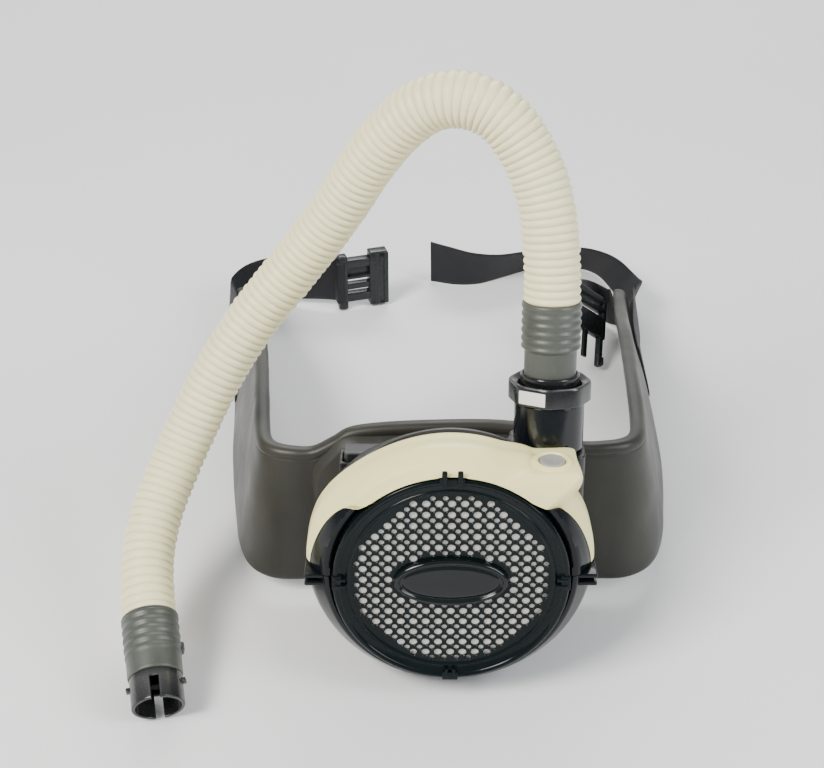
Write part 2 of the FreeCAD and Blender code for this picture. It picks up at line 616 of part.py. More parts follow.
# The hose leaves the cuff 94 mm above the port's base, arches over and comes down.
ROUTE = [(66.8, 77.5, 265.7), (66.8, 84.2, 305.9), (55.9, 96.4, 353.6), (27.4, 106.0, 391.9),
         (-13.0, 117.1, 393.8), (-48.2, 132.0, 356.6), (-77.0, 145.9, 305.2),
         (-108.8, 152.8, 260.4), (-142.0, 152.8, 219.2), (-171.1, 145.8, 173.5),
         (-194.8, 130.8, 126.5), (-212.4, 102.0, 90.0), (-218.3, 68.7, 63.0),
         (-211.5, 38.0, 43.5)]
top = PORT.multVec(Vector(0, 0, 94.0))
ROUTE[0] = (top.x, top.y, top.z)
step = Vector(*PORT_DIR) * 40.7
ROUTE[1] = (top.x + step.x, top.y + step.y, top.z + step.z)


def route_wire(points):
    """Straight runs joined by tangent arcs; every arc is as large as its runs allow."""
    pts = [Vector(*p) for p in points]
    edges, radii = [], []
    here = pts[0]
    for i in range(1, len(pts) - 1):
        a = (pts[i] - pts[i - 1])
        b = (pts[i + 1] - pts[i])
        turn = a.getAngle(b)
        reach_ = 0.45 * min(a.Length, b.Length)
        r = reach_ / math.tan(turn / 2.0)
        radii.append(r)
        ua, ub = Vector(a).normalize(), Vector(b).normalize()
        p1 = pts[i] - ua * reach_
        p2 = pts[i] + ub * reach_
        inward = (ub - ua).normalize()
        centre = pts[i] + inward * (r / math.cos(turn / 2.0))
        mid = centre + (pts[i] - centre).normalize() * r
        edges.append(Part.LineSegment(here, p1).toShape())
        edges.append(Part.Arc(p1, mid, p2).toShape())
        here = p2
    edges.append(Part.LineSegment(here, pts[-1]).toShape())
    return Part.Wire(edges), radii


wire, radii = route_wire(ROUTE)
print("hose route radii mm:", ", ".join("%.0f" % r for r in radii))


def pipe(radius):
    start = Vector(*ROUTE[0])
    way = Vector(*ROUTE[1]) - start
    ring_ = Part.Wire([Part.Circle(start, way, radius).toShape()])
    return wire.makePipeShell([ring_], True, True)


tube = pipe(num(P.hose_r)).cut(pipe(num(P.hose_bore)))
want = math.pi * (num(P.hose_r) ** 2 - num(P.hose_bore) ** 2) * wire.Length
print("hose length %.1f mm, volume %.0f of %.0f mm3" % (wire.Length, tube.Volume, want))
done(solid_feature("hose_tube", tube), "breathing_hose")

END_TIP = Vector(-199.7, -15.0, 9.9)
end0 = Vector(*ROUTE[-1])
far_dir = (end0 - Vector(*ROUTE[-2])).normalize() * (END_TIP - end0).Length
FAR_LEN = far_dir.Length
FAR = along((end0.x, end0.y, end0.z), (far_dir.x, far_dir.y, far_dir.z))
print("far end length %.1f" % FAR_LEN)
done(turned("far_cuff", [(15.4, 0.0), (19.4, 0.0), (20.2, 3.6), (19.3, 7.2), (20.2, 10.8),
                         (19.3, 14.4), (20.2, 18.0), (19.3, 21.6), (19.9, 25.0), (19.5, 42.5),
                         (18.9, 43.4), (15.4, 43.4)], FAR), "mask_end_cuff")
spigot = turned("far_spigot", [(13.4, 14.0), (15.3, 14.0), (15.3, 43.5), (P.end_r, 43.5),
                               (P.end_r, FAR_LEN - 1.2), (P.end_r - 0.8, FAR_LEN),
                               (P.end_bore, FAR_LEN), (P.end_bore, 44.5), (13.4, 41.5)], FAR)
slots = []
for i, a in enumerate((-62, 58, 178)):
    s = box("far_slot%d" % i, 0, 12.0, -2.6, 2.6, 0, 20.0)
    s.Placement = FAR.multiply(Placement(Vector(0, 0, 0), Rotation(Vector(0, 0, 1), a))).multiply(
        Placement(Vector(11.0, -2.6, FAR_LEN - 15.5), Rotation()))
    slots.append(s)
lugs = []
for i, a in enumerate((0, 120, 240)):
    s = box("far_lug%d" % i, 0, 3.2, -3.0, 3.0, 0, 3.0)
    s.Placement = FAR.multiply(Placement(Vector(0, 0, 0), Rotation(Vector(0, 0, 1), a))).multiply(
        Placement(Vector(num(P.end_r) - 1.0, -3.0, 45.0), Rotation()))
    lugs.append(s)
done(cut("far_connector", fuse("far_parts", spigot, *lugs), *slots), "mask_end_connector")

# ---------------------------------------------------------------------------
# Battery pack on the back of the drum, its cradle, latch and contacts
# ---------------------------------------------------------------------------
pack_box = box("pack_box", P.pack_x0, P.pack_x1, P.pack_y0, P.pack_y1, P.pack_z0, P.pack_z1)
pack_soft = rounded("pack_soft", pack_box, 3.0, upright_edge)
latch_room = box("latch_room", -32.2, -5.8, 87.4, 98.6, 138.6, 150.0)
grip = [box("pack_grip%d" % i, -68.0 + 8 * i, -64.0 + 8 * i, 99.8, 102.0, 118.0, 140.0)
        for i in range(3)]
contacts_room = box("contacts_room", -28.4, -5.6, 90.0, 96.0, 50.0, 60.0)
done(cut("pack", pack_soft, latch_room, contacts_room, *grip), "battery_pack")
latch = fuse("latch", box("latch_foot", -31.8, -6.2, 87.8, 98.2, 142.2, 145.6),
             box("latch_thumb", -28.0, -10.0, 89.0, 97.0, 145.0, 149.4))
done(latch, "battery_latch")
cradle_out = box("cradle_block", P.pack_x0 - 3.4, P.pack_x1 + 3.4, 82.3, 104.0, 46.0, 140.0)
cradle_in = box("cradle_room", P.pack_x0 - 0.4, P.pack_x1 + 0.4, 84.8, 101.0, P.pack_z0 - 0.6, 160.0)
cradle_front = box("cradle_front", P.pack_x0 + 14.0, P.pack_x1 - 14.0, 80.0, 86.0, 66.0, 160.0)
cradle_holes = [rod("cradle_hole%d" % i, 2.15, 8.0, along((x, 99.0, z), (0, 1, 0)))
                for i, (x, z) in enumerate(((-60, 64), (26, 64), (-60, 128), (26, 128)))]
screw_rooms = [rod("cradle_clear%d" % i, 4.2, 3.0,
                   along((66 * math.cos(math.radians(a)), 81.0, AXIS_UP + 66 * math.sin(math.radians(a))),
                         (0, 1, 0))) for i, a in enumerate((5, 150, 215, 325))]
cradle = cut("cradle", cradle_out, cradle_in, cradle_front,
             box("contact_slot", -27.2, -6.8, 90.6, 95.4, 44.0, 56.0),
             *(cradle_holes + screw_rooms))
done(cradle, "battery_cradle")
blades = doc.addObject("Part::Compound", "contact_blades")
blades.Links = [box("blade%d" % i, x, x + 3.6, 92.4, 93.4, 47.0, 58.0)
                for i, x in enumerate((-26.0, -18.8, -11.6))]
contact_base = box("contact_base", -27.0, -7.0, 90.8, 95.2, 46.6, 53.0)
contact_body = fuse("contacts", contact_base, *blades.Links)
done(contact_body, "battery_contacts")

# ---------------------------------------------------------------------------
# Belt: moulded pad (one band round the waist), webbing and buckle halves
# ---------------------------------------------------------------------------
# x, y of the inner face at the top edge; flare of the lower edge; top and bottom height
STATIONS = [
    (-183.0, 490.0, 9.0, 102.0, 60.5), (-171.0, 445.0, 13.0, 109.0, 55.5),
    (-160.0, 395.0, 17.0, 117.0, 49.5), (-151.0, 340.0, 21.0, 125.0, 42.5),
    (-144.5, 290.0, 24.0, 130.0, 36.5), (-139.0, 240.0, 24.0, 133.0, 31.0),
    (-134.5, 195.0, 22.0, 134.0, 27.5), (-131.5, 160.0, 19.0, 134.0, 25.5),
    (-128.5, 138.0, 15.0, 134.0, 25.0), (-123.0, 127.5, 11.0, 134.0, 25.0),
    (-112.0, 123.0, 7.0, 134.0, 25.0), (-98.0, 122.0, 4.0, 134.5, 25.0),
    (-84.0, 122.0, 3.0, 139.0, 25.0), (-68.0, 122.0, 3.0, 147.0, 25.0),
    (-30.0, 122.0, 3.0, 149.0, 25.0), (30.0, 122.0, 3.0, 149.0, 25.0),
    (66.0, 122.0, 3.0, 146.0, 25.0), (82.0, 122.0, 3.0, 138.0, 25.0),
    (98.0, 122.3, 4.0, 134.5, 25.0), (114.0, 124.0, 7.0, 134.0, 25.0),
    (127.0, 129.0, 12.0, 134.0, 25.0), (134.0, 141.0, 17.0, 134.0, 25.0),
    (137.5, 165.0, 22.0, 134.0, 25.5), (140.5, 200.0, 25.0, 134.0, 27.5),
    (144.0, 250.0, 28.0, 133.0, 31.5), (147.5, 300.0, 27.0, 129.0, 37.5),
    (151.0, 350.0, 24.0, 123.0, 43.5), (155.0, 400.0, 20.0, 115.0, 50.0),
    (160.0, 445.0, 15.0, 108.0, 56.0), (165.0, 485.0, 11.0, 102.0, 60.5)]


def outward(i):
    """Unit normal of the band at a station, pointing away from the wearer."""
    a = STATIONS[max(i - 1, 0)]
    b = STATIONS[min(i + 1, len(STATIONS) - 1)]
    dx, dy = b[0] - a[0], b[1] - a[1]
    k = math.hypot(dx, dy)
    return dy / k, -dx / k


def band_point(i, depth, height):
    """A point at station i, depth out from the inner face, at a height."""
    x, y, flare, zt, zb = STATIONS[i]
    nx, ny = outward(i)
    f = flare * (zt - height) / (zt - zb)
    return Vector(x + nx * (depth + f), y + ny * (depth + f), height)


thick = num(P.pad_thick)
sections = []
for i, st in enumerate(STATIONS):
    c = [band_point(i, 0, st[3]), band_point(i, thick, st[3]),
         band_point(i, thick, st[4]), band_point(i, 0, st[4])]
    sections.append(Part.makePolygon(c + [c[0]]))
band = Part.makeLoft(sections, True, True)
if band.Volume < 0:
    band.reverse()
hump_pts = [Vector(-94, 104.3, 52), Vector(94, 104.3, 52), Vector(94, 104.3, 116),
            Vector(70, 104.3, 142), Vector(-72, 104.3, 142), Vector(-94, 104.3, 118)]
hump_back = [Vector(-101, 112, 46), Vector(101, 112, 46), Vector(101, 112, 119),
             Vector(74, 112, 146), Vector(-76, 112, 146), Vector(-101, 112, 121)]
hump = Part.makeLoft([Part.makePolygon(hump_pts + [hump_pts[0]]),
                      Part.makePolygon(hump_back + [hump_back[0]])], True, True)
pad_shape = band.fuse(hump).removeSplitter()
for x, z in ((-60, 64), (26, 64), (-60, 128), (26, 128)):
    pad_shape = pad_shape.cut(Part.makeCylinder(2.15, 30, Vector(x, 100, z), Vector(0, 1, 0)))
    pad_shape = pad_shape.cut(Part.makeCylinder(5.2, 6, Vector(x, 119.6, z), Vector(0, 1, 0)))
done(solid_feature("pad", pad_shape), "belt_pad")
bolts = []
for i, (x, z) in enumerate(((-60, 64), (26, 64), (-60, 128), (26, 128))):
    bolts.append(fuse("belt_bolt%d" % i,
                      rod("belt_bolt_shank%d" % i, 2.0, 18.0, along((x, 102.0, z), (0, 1, 0))),
                      rod("belt_bolt_head%d" % i, 4.8, 1.9, along((x, 119.7, z), (0, 1, 0)))))
bolt_group = doc.addObject("Part::Compound", "bolt_group")
bolt_group.Links = bolts
done(bolt_group, "belt_screws")

# Webbing stands on its edge: (lower edge, upper edge) points along each strap,
# given on the surface the respirator rests on and turned into the design frame.
back_lean = Placement(LEAN).inverse()


def rest(x, y, z):
    return back_lean.multVec(Vector(x + num(P.shift_x), y + num(P.shift_y), z))


def strap(name, pairs):
    """A band web_thick thick through pairs of lower and upper edge points."""
    half = num(P.web_thick) / 2.0
    secs = []
    for k, (lo, hi) in enumerate(pairs):
        a = pairs[max(k - 1, 0)]
        b = pairs[min(k + 1, len(pairs) - 1)]
        along_ = ((b[0] + b[1]) - (a[0] + a[1])).normalize()
        up = (hi - lo).normalize()
        n = along_.cross(up).normalize() * half
        c = [lo - n, lo + n, hi + n, hi - n]
        secs.append(Part.makePolygon(c + [c[0]]))
    s = Part.makeLoft(secs, True, True)
    if s.Volume < 0:
        s.reverse()
    return solid_feature(name, s)


def eased(pairs, steps):
    """More edge pairs, on a smooth curve through the given ones."""
    ends = [pairs[0]] + pairs + [pairs[-1]]
    out = []
    for k in range(len(pairs) - 1):
        a, b, c, d = ends[k:k + 4]
        for i in range(steps):
            t = i / steps
            row = []
            for e in (0, 1):
                row.append((b[e] * 2.0 + (c[e] - a[e]) * t
                            + (a[e] * 2.0 - b[e] * 5.0 + c[e] * 4.0 - d[e]) * t ** 2
                            + (b[e] * 3.0 - a[e] - c[e] * 3.0 + d[e]) * t ** 3) * 0.5)
            out.append(tuple(row))
    return out + [pairs[-1]]


def on_arm(i, lo, hi):
    """Strap edge points on the pad's outer face at station i."""
    d = thick + 0.7
    return band_point(i, d, lo), band_point(i, d, hi)


left_pairs = [on_arm(3, 58.0, 104.8), on_arm(2, 57.5, 104.3), on_arm(1, 57.0, 103.8),
              on_arm(0, 56.5, 103.3)]
for lo, hi in (((-202.5, 522.3, 1.0), (-199.6, 514.0, 47.0)),
               ((-193.0, 543.0, 1.0), (-189.5, 537.5, 47.3)),
               ((-176.7, 551.4, 2.5), (-171.5, 548.6, 49.2)),
               ((-156.3, 549.1, 5.0), (-152.8, 548.0, 51.8)),
               ((-137.0, 543.9, 7.4), (-134.3, 543.2, 54.2)),
               ((-115.5, 540.0, 9.3), (-113.8, 539.5, 56.2)),
               ((-94.4, 535.7, 9.8), (-94.2, 535.7, 56.8))):
    left_pairs.append((rest(*lo), rest(*hi)))
done(strap("strap_left", eased(left_pairs, 2)), "left_webbing")

right_pairs = [on_arm(26, 58.0, 104.8), on_arm(27, 57.5, 104.3), on_arm(28, 57.0, 103.8),
               on_arm(29, 56.5, 103.3)]
for lo, hi in (((186.0, 530.0, 1.2), (198.5, 514.0, 43.2)),
               ((179.5, 553.5, 1.0), (195.5, 531.0, 37.0)),
               ((175.2, 575.3, 1.0), (191.0, 548.5, 35.0)),
               ((169.1, 593.8, 1.0), (180.8, 566.4, 37.2)),
               ((161.2, 606.4, 1.0), (166.5, 579.3, 39.0)),
               ((147.5, 614.8, 1.0), (145.6, 588.5, 39.6)),
               ((120.6, 617.5, 1.0), (115.9, 589.4, 38.6)),
               ((92.5, 612.0, 1.0), (88.0, 584.0, 38.2)),
               ((66.6, 598.0, 1.0), (60.5, 573.0, 40.3)),
               ((42.2, 584.5, 1.0), (35.0, 568.5, 44.8)),
               ((18.8, 582.5, 1.0), (12.6, 576.5, 47.2)),
               ((-6.5, 590.0, 1.0), (-6.9, 586.8, 47.8))):
    right_pairs.append((rest(*lo), rest(*hi)))
done(strap("strap_right", eased(right_pairs, 3)), "right_webbing")

# The male half hangs from its webbing, leaning down to the rest plane
male_z = Vector(-0.66, -0.35, 0.63).normalize()
male_x = Vector(-0.10, -0.82, -0.56)
male_x = (male_x - male_z * male_x.dot(male_z)).normalize()
male_at = back_lean.multiply(frame_of((160.0, 166.0, 42.0), tuple(male_x), tuple(male_z)))


def on_male(x, z):
    return male_at.multVec(Vector(x, 0, z))


def shifted(x, y, z):
    """rest(), but in the shifted frame."""
    return rest(x - num(P.shift_x), y - num(P.shift_y), z)


# Stitched loop that holds the adjuster on the inner face of the right arm
inner_pairs = [(band_point(i, -0.8, 62.0), band_point(i, -0.8, 100.0)) for i in (28, 29)]
inner_pairs.append((shifted(167.5, 193.0, 4.0), shifted(164.5, 191.0, 43.0)))
inner_pairs.append((shifted(160.5, 198.5, 8.0), shifted(153.0, 193.5, 48.0)))
inner_pairs.append((shifted(157.8, 184.0, 27.0), shifted(137.0, 174.0, 63.0)))
inner_pairs.append((on_male(1.6, 6.5), on_male(1.6, 49.5)))
done(strap("strap_loop", eased(inner_pairs, 4)), "adjuster_strap")


def placed(obj, where):
    obj.Placement = where.multiply(obj.Placement)
    return obj


# Female half of the side-release buckle, standing on its long edge
yaw = math.radians(17.0)


def standing(x, y, angle):
    """A frame on the rest plane, turned about the vertical."""
    return back_lean.multiply(frame_of((x + num(P.shift_x), y + num(P.shift_y), 1.2),
                                       (math.cos(angle), math.sin(angle), 0), (0, 0, 1)))


fem_blk = rounded("fem_round", box("fem_block", 0, 50.0, -6.5, 6.5, 0, 60.0), 2.2,
                  lambda e: e.Length > 45)
fem_cuts = [
    box("fem_mouth", 34.0, 52.0, -3.7, 3.7, 7.0, 53.0),
    box("fem_window0", 9.5, 32.0, -8.0, 8.0, 28.0, 34.0),
    box("fem_window1", 9.5, 32.0, -8.0, 8.0, 17.0, 22.0),
    box("fem_recess", 9.5, 32.0, -8.0, -1.4, 36.5, 45.5),
    box("fem_groove0", 35.6, 36.8, -8.0, -5.6, -1.0, 61.0),
    box("fem_groove1", 41.6, 45.2, -8.0, -5.8, -1.0, 61.0),
    box("fem_slot", 2.6, 7.0, -8.0, 8.0, 6.0, 54.0),
    rod("fem_notch0", 6.5, 30.0, along((17.5, -15.0, 60.5), (0, 1, 0))),
    rod("fem_notch1", 6.5, 30.0, along((17.5, -15.0, 2.0), (0, 1, 0))),
    box("fem_step0", 17.0, 60.0, -8.0, 8.0, -1.0, 3.6)]
fem = cut("fem", fem_blk, *fem_cuts)
fem.Placement = standing(-98.9, 534.2, yaw)
done(fem, "female_buckle")

# Male half with its adjuster bars, beside the inner face of the right arm
male_plate = rounded("male_round", box("male_plate", 0, 40.0, -3.5, 3.5, 1.0, 55.0), 1.6,
                     lambda e: e.Length > 30)
male_slots = [box("male_slot0", 4.0, 9.0, -6, 6, 6.0, 50.0),
              box("male_slot1", 14.0, 18.5, -6, 6, 6.0, 50.0)]
male_prongs = [box("male_prong0", 38.0, 68.0, -3.0, 3.0, 3.0, 9.0),
               box("male_prong1", 38.0, 68.0, -3.0, 3.0, 47.0, 53.0),
               box("male_prong2", 38.0, 66.0, -1.5, 1.5, 25.0, 31.0),
               box("male_barb0", 58.0, 66.0, -3.0, 3.0, 0.5, 5.0),
               box("male_barb1", 58.0, 66.0, -3.0, 3.0, 51.0, 55.5)]
male = cut("male", fuse("male_parts", male_plate, *male_prongs), *male_slots)
male.Placement = male_at
done(male, "male_buckle")

# ---------------------------------------------------------------------------
doc.recompute()
bad = []
for obj in doc.Objects:
    if any(s in ("Invalid", "Error") for s in obj.State):
        bad.append("%s %s" % (obj.Name, obj.State))
for label, obj in finished:
    shape = obj.Shape
    if shape.isNull() or not shape.isValid():
        bad.append("%s has no valid shape" % label)
    elif len(shape.Solids) < 1:
        bad.append("%s has no solid" % label)
if bad:
    raise SystemExit("\n".join(bad))

os.makedirs("parts", exist_ok=True)
box_all = None
cord_nodes = ("breathing_hose", "hose_cuff", "hose_connector", "mask_end_cuff",
              "mask_end_connector")
for label, obj in finished:
    obj.Shape.exportStep("parts/%s.step" % label)
    bb = obj.Shape.BoundBox
    print("%-20s solids %2d volume %9.0f  x %7.1f %7.1f  y %7.1f %7.1f  z %7.1f %7.1f" % (
        label, len(obj.Shape.Solids), obj.Shape.Volume, bb.XMin, bb.XMax, bb.YMin, bb.YMax,
        bb.ZMin, bb.ZMax))
    if label not in cord_nodes:
        if box_all is None:
            box_all = FreeCAD.BoundBox(bb)
        else:
            box_all.add(bb)
print("without the hose: x %.2f %.2f y %.2f %.2f z %.2f %.2f" % (
    box_all.XMin, box_all.XMax, box_all.YMin, box_all.YMax, box_all.ZMin, box_all.ZMax))
print(len(finished), "sub-parts")
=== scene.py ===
import bpy
import bmesh
import json
import math
import numpy as np
from mathutils import Matrix, Vector, noise
from mathutils.geometry import delaunay_2d_cdt


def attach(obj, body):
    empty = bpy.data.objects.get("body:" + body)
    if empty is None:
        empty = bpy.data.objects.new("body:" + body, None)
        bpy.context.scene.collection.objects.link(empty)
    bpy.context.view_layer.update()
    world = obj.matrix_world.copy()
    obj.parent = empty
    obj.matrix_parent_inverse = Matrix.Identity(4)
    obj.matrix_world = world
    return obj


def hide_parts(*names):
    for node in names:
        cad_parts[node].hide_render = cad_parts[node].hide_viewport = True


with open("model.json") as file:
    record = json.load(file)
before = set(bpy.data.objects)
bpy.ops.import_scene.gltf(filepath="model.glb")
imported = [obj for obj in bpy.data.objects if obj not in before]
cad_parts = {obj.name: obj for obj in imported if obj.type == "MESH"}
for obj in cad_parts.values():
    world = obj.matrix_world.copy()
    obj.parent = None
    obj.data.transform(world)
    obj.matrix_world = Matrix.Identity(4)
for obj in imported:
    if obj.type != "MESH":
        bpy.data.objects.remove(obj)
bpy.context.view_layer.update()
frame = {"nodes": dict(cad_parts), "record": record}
NODES = frame["nodes"]
scene = bpy.context.scene

# ---------------------------------------------------------------------------
# Frames.  D is the design frame, in millimetres, in which the blower stands
# upright; the object leans back by seven degrees as it lies.
# ---------------------------------------------------------------------------
LEAN_DEG = 7.0
SHIFT = Vector((3.16, -309.77, 4.63))
LEAN = Matrix.Translation(SHIFT) @ Matrix.Rotation(-math.radians(LEAN_DEG), 4, "X")
D = Matrix.Scale(0.001, 4) @ LEAN
AXIS_UP = 98.0


def axes(origin, x, z):
    """A frame at origin with its X and Z as given."""
    x, z = Vector(x).normalized(), Vector(z).normalized()
    y = z.cross(x)
    return Matrix(((x.x, y.x, z.x, origin[0]), (x.y, y.y, z.y, origin[1]),
                   (x.z, y.z, z.z, origin[2]), (0, 0, 0, 1)))


FRONT = D @ Matrix.Translation((0, -5.0, 0))


def disc(theta=0.0):
    """Z runs back along the blower's axis, X points out at theta."""
    a = math.radians(theta)
    return FRONT @ axes((0, 0, AXIS_UP), (math.cos(a), 0, math.sin(a)), (0, 1, 0))


TILT = math.radians(9.5)
PORT_DIR = Vector((0, math.sin(TILT), math.cos(TILT)))
PORT = D @ axes((66.8, 62.0, 173.0), (1, 0, 0), PORT_DIR)

# ---------------------------------------------------------------------------
# Camera
# ---------------------------------------------------------------------------
cam_data = bpy.data.cameras.new("camera")
cam_data.sensor_fit = "HORIZONTAL"
cam_data.sensor_width = 36.0
cam_data.lens = 1500.0 / 824.0 * 36.0
cam = bpy.data.objects.new("camera", cam_data)
scene.collection.objects.link(cam)
cam.location = (-0.02284, -1.05877, 0.76353)
cam.rotation_euler = (math.radians(90.0 - 33.6), 0, 0)
scene.camera = cam

# ---------------------------------------------------------------------------
# Materials: all procedural, in object coordinates (metres)
# ---------------------------------------------------------------------------


class Nodes:
    """Short ways to add and join shader nodes."""

    def __init__(self, name):
        self.mat = bpy.data.materials.new(name)
        self.mat.use_nodes = True
        self.tree = self.mat.node_tree
        self.tree.nodes.clear()
        self.out = self.tree.nodes.new("ShaderNodeOutputMaterial")
        self.bsdf = self.tree.nodes.new("ShaderNodeBsdfPrincipled")
        self.tree.links.new(self.bsdf.outputs[0], self.out.inputs[0])
        self.coord = self.tree.nodes.new("ShaderNodeTexCoord")

    def link(self, a, b):
        self.tree.links.new(a, b)

    def put(self, socket, value):
        if isinstance(value, bpy.types.NodeSocket):
            self.link(value, socket)
        else:
            socket.default_value = value

    def new(self, kind, **props):
        n = self.tree.nodes.new(kind)
        for k, v in props.items():
            setattr(n, k, v)
        return n

    def mapping(self, scale=(1, 1, 1), source="Object", rotation=(0, 0, 0)):
        m = self.new("ShaderNodeMapping")
        m.inputs["Scale"].default_value = scale
        m.inputs["Rotation"].default_value = rotation
        self.link(self.coord.outputs[source], m.inputs["Vector"])
        return m.outputs[0]

    def noise(self, scale, detail=3.0, rough=0.55, vector=None, distortion=0.0):
        n = self.new("ShaderNodeTexNoise")
        n.inputs["Scale"].default_value = scale
        n.inputs["Detail"].default_value = detail
        n.inputs["Roughness"].default_value = rough
        n.inputs["Distortion"].default_value = distortion
        self.link(vector if vector is not None else self.coord.outputs["Object"], n.inputs["Vector"])
        return n.outputs["Fac"]

    def ramp(self, value, lo, hi, out_lo=0.0, out_hi=1.0):
        r = self.new("ShaderNodeMapRange")
        r.clamp = True
        self.put(r.inputs["Value"], value)
        for k, v in (("From Min", lo), ("From Max", hi), ("To Min", out_lo), ("To Max", out_hi)):
            r.inputs[k].default_value = v
        return r.outputs["Result"]

    def math(self, op, a, b=0.0, c=0.0):
        m = self.new("ShaderNodeMath", operation=op)
        self.put(m.inputs[0], a)
        self.put(m.inputs[1], b)
        self.put(m.inputs[2], c)
        return m.outputs[0]

    def mix(self, fac, a, b):
        m = self.new("ShaderNodeMix", data_type="RGBA")
        self.put(m.inputs["Factor"], fac)
        for name, v in (("A", a), ("B", b)):
            s = [i for i in m.inputs if i.name == name and i.type == "RGBA"][0]
            self.put(s, v if isinstance(v, bpy.types.NodeSocket) else (*v[:3], 1.0))
        return [o for o in m.outputs if o.type == "RGBA"][0]

    def bump(self, height, strength=0.3, distance=0.0005, after=None):
        b = self.new("ShaderNodeBump")
        b.inputs["Strength"].default_value = strength
        b.inputs["Distance"].default_value = distance
        self.put(b.inputs["Height"], height)
        if after is not None:
            self.link(after, b.inputs["Normal"])
        return b.outputs["Normal"]

    def worn_edge(self, lo=0.52, hi=0.6):
        g = self.new("ShaderNodeNewGeometry")
        return self.ramp(g.outputs["Pointiness"], lo, hi)

    def finish(self, **values):
        for k, v in values.items():
            self.put(self.bsdf.inputs[k], v)
        return self.mat


def shade(c, k):
    return tuple(max(0.0, min(1.0, v * k)) for v in c)


def plastic(name, colour, rough=0.35, grain=0.0, grain_scale=1800.0, vary=0.08, scuff=0.25,
            coat=0.0, edge=0.0, edge_colour=None, subsurface=0.0, spec=0.5, dust=0.0):
    """Moulded plastic: uneven colour, patchy gloss, fine scratches, grain and rubbed edges."""
    n = Nodes(name)
    cloud = n.noise(22.0, 4.0)
    fine = n.noise(240.0, 3.0)
    base = n.mix(n.ramp(cloud, 0.3, 0.7), shade(colour, 1 - vary), shade(colour, 1 + vary))
    base = n.mix(n.ramp(fine, 0.45, 0.75, 0.0, 0.35), base, shade(colour, 1 - 1.5 * vary))
    if dust:
        specks = n.noise(1100.0, 2.0, 0.7)
        base = n.mix(n.ramp(specks, 0.66, 0.74, 0.0, dust), base, (0.55, 0.54, 0.5))
    if edge:
        base = n.mix(n.math("MULTIPLY", n.worn_edge(), edge), base, edge_colour or shade(colour, 1.8))
    scratch_a = n.noise(1.0, 2.0, 0.6, n.mapping((90.0, 2600.0, 600.0), rotation=(0.3, 0.5, 0.9)))
    scratch_b = n.noise(1.0, 2.0, 0.6, n.mapping((2400.0, 110.0, 700.0), rotation=(0.9, 0.2, 0.4)))
    scratches = n.math("MAXIMUM", n.ramp(scratch_a, 0.62, 0.72), n.ramp(scratch_b, 0.64, 0.74))
    patch = n.ramp(n.noise(60.0, 3.0), 0.35, 0.7, -0.06, 0.1)
    r = n.math("ADD", n.math("ADD", patch, rough), n.math("MULTIPLY", scratches, scuff * 0.5))
    wave = n.bump(n.noise(34.0, 2.0), 0.12, 0.0006)
    normal = n.bump(n.noise(grain_scale, 2.0, 0.6), grain, 0.0002, wave) if grain else wave
    normal = n.bump(scratches, scuff * 0.12, 0.0001, normal)
    return n.finish(**{"Base Color": base, "Roughness": r, "Normal": normal, "Coat Weight": coat,
                       "Coat Roughness": 0.08, "Specular IOR Level": spec,
                       "Subsurface Weight": subsurface, "Subsurface Scale": 0.002,
                       "Subsurface Radius": (0.9, 0.9, 0.6)})


def hose_plastic(name, colour):
    n = Nodes(name)
    cloud = n.noise(14.0, 4.0)
    base = n.mix(n.ramp(cloud, 0.3, 0.7), shade(colour, 0.95), (colour[0], colour[1], colour[2] * 0.9))
    geo = n.new("ShaderNodeNewGeometry")
    # painted shade: the hollow grooves between the ribs are darkened, mottled by noise
    valley = n.ramp(geo.outputs["Pointiness"], 0.44, 0.5, 1.0, 0.0)
    groove_shade = n.math("MULTIPLY", valley, n.ramp(n.noise(90.0, 3.0), 0.3, 0.75, 0.45, 1.0))
    base = n.mix(n.math("MULTIPLY", groove_shade, 0.55), base, (0.36, 0.35, 0.24))
    base = n.mix(n.ramp(n.noise(420.0, 2.0), 0.66, 0.78, 0.0, 0.3), base, (0.52, 0.49, 0.36))
    r = n.ramp(n.noise(70.0, 3.0), 0.3, 0.75, 0.3, 0.52)
    normal = n.bump(n.noise(900.0, 2.0), 0.1, 0.0002, n.bump(n.noise(60.0), 0.12, 0.0006))
    return n.finish(**{"Base Color": base, "Roughness": r, "Normal": normal,
                       "Subsurface Weight": 0.12, "Subsurface Scale": 0.003,
                       "Subsurface Radius": (1.0, 0.85, 0.55), "Specular IOR Level": 0.45})


def rubber(name, colour, rough=0.55, streak=0.0):
    n = Nodes(name)
    base = n.mix(n.ramp(n.noise(40.0, 4.0), 0.3, 0.7), shade(colour, 0.85), shade(colour, 1.15))
    base = n.mix(n.ramp(n.noise(500.0, 3.0, 0.7), 0.55, 0.8, 0.0, 0.5), base, shade(colour, 1.6))
    base = n.mix(n.math("MULTIPLY", n.worn_edge(0.53, 0.62), 0.35), base, shade(colour, 1.9))
    r = n.ramp(n.noise(80.0, 3.0), 0.3, 0.7, rough - 0.1, rough + 0.12)
    normal = n.bump(n.noise(2200.0, 2.0, 0.6), 0.25, 0.0002, n.bump(n.noise(120.0), 0.2, 0.0006))
    return n.finish(**{"Base Color": base, "Roughness": r, "Normal": normal, "Sheen Weight": 0.08,
                       "Specular IOR Level": 0.45})


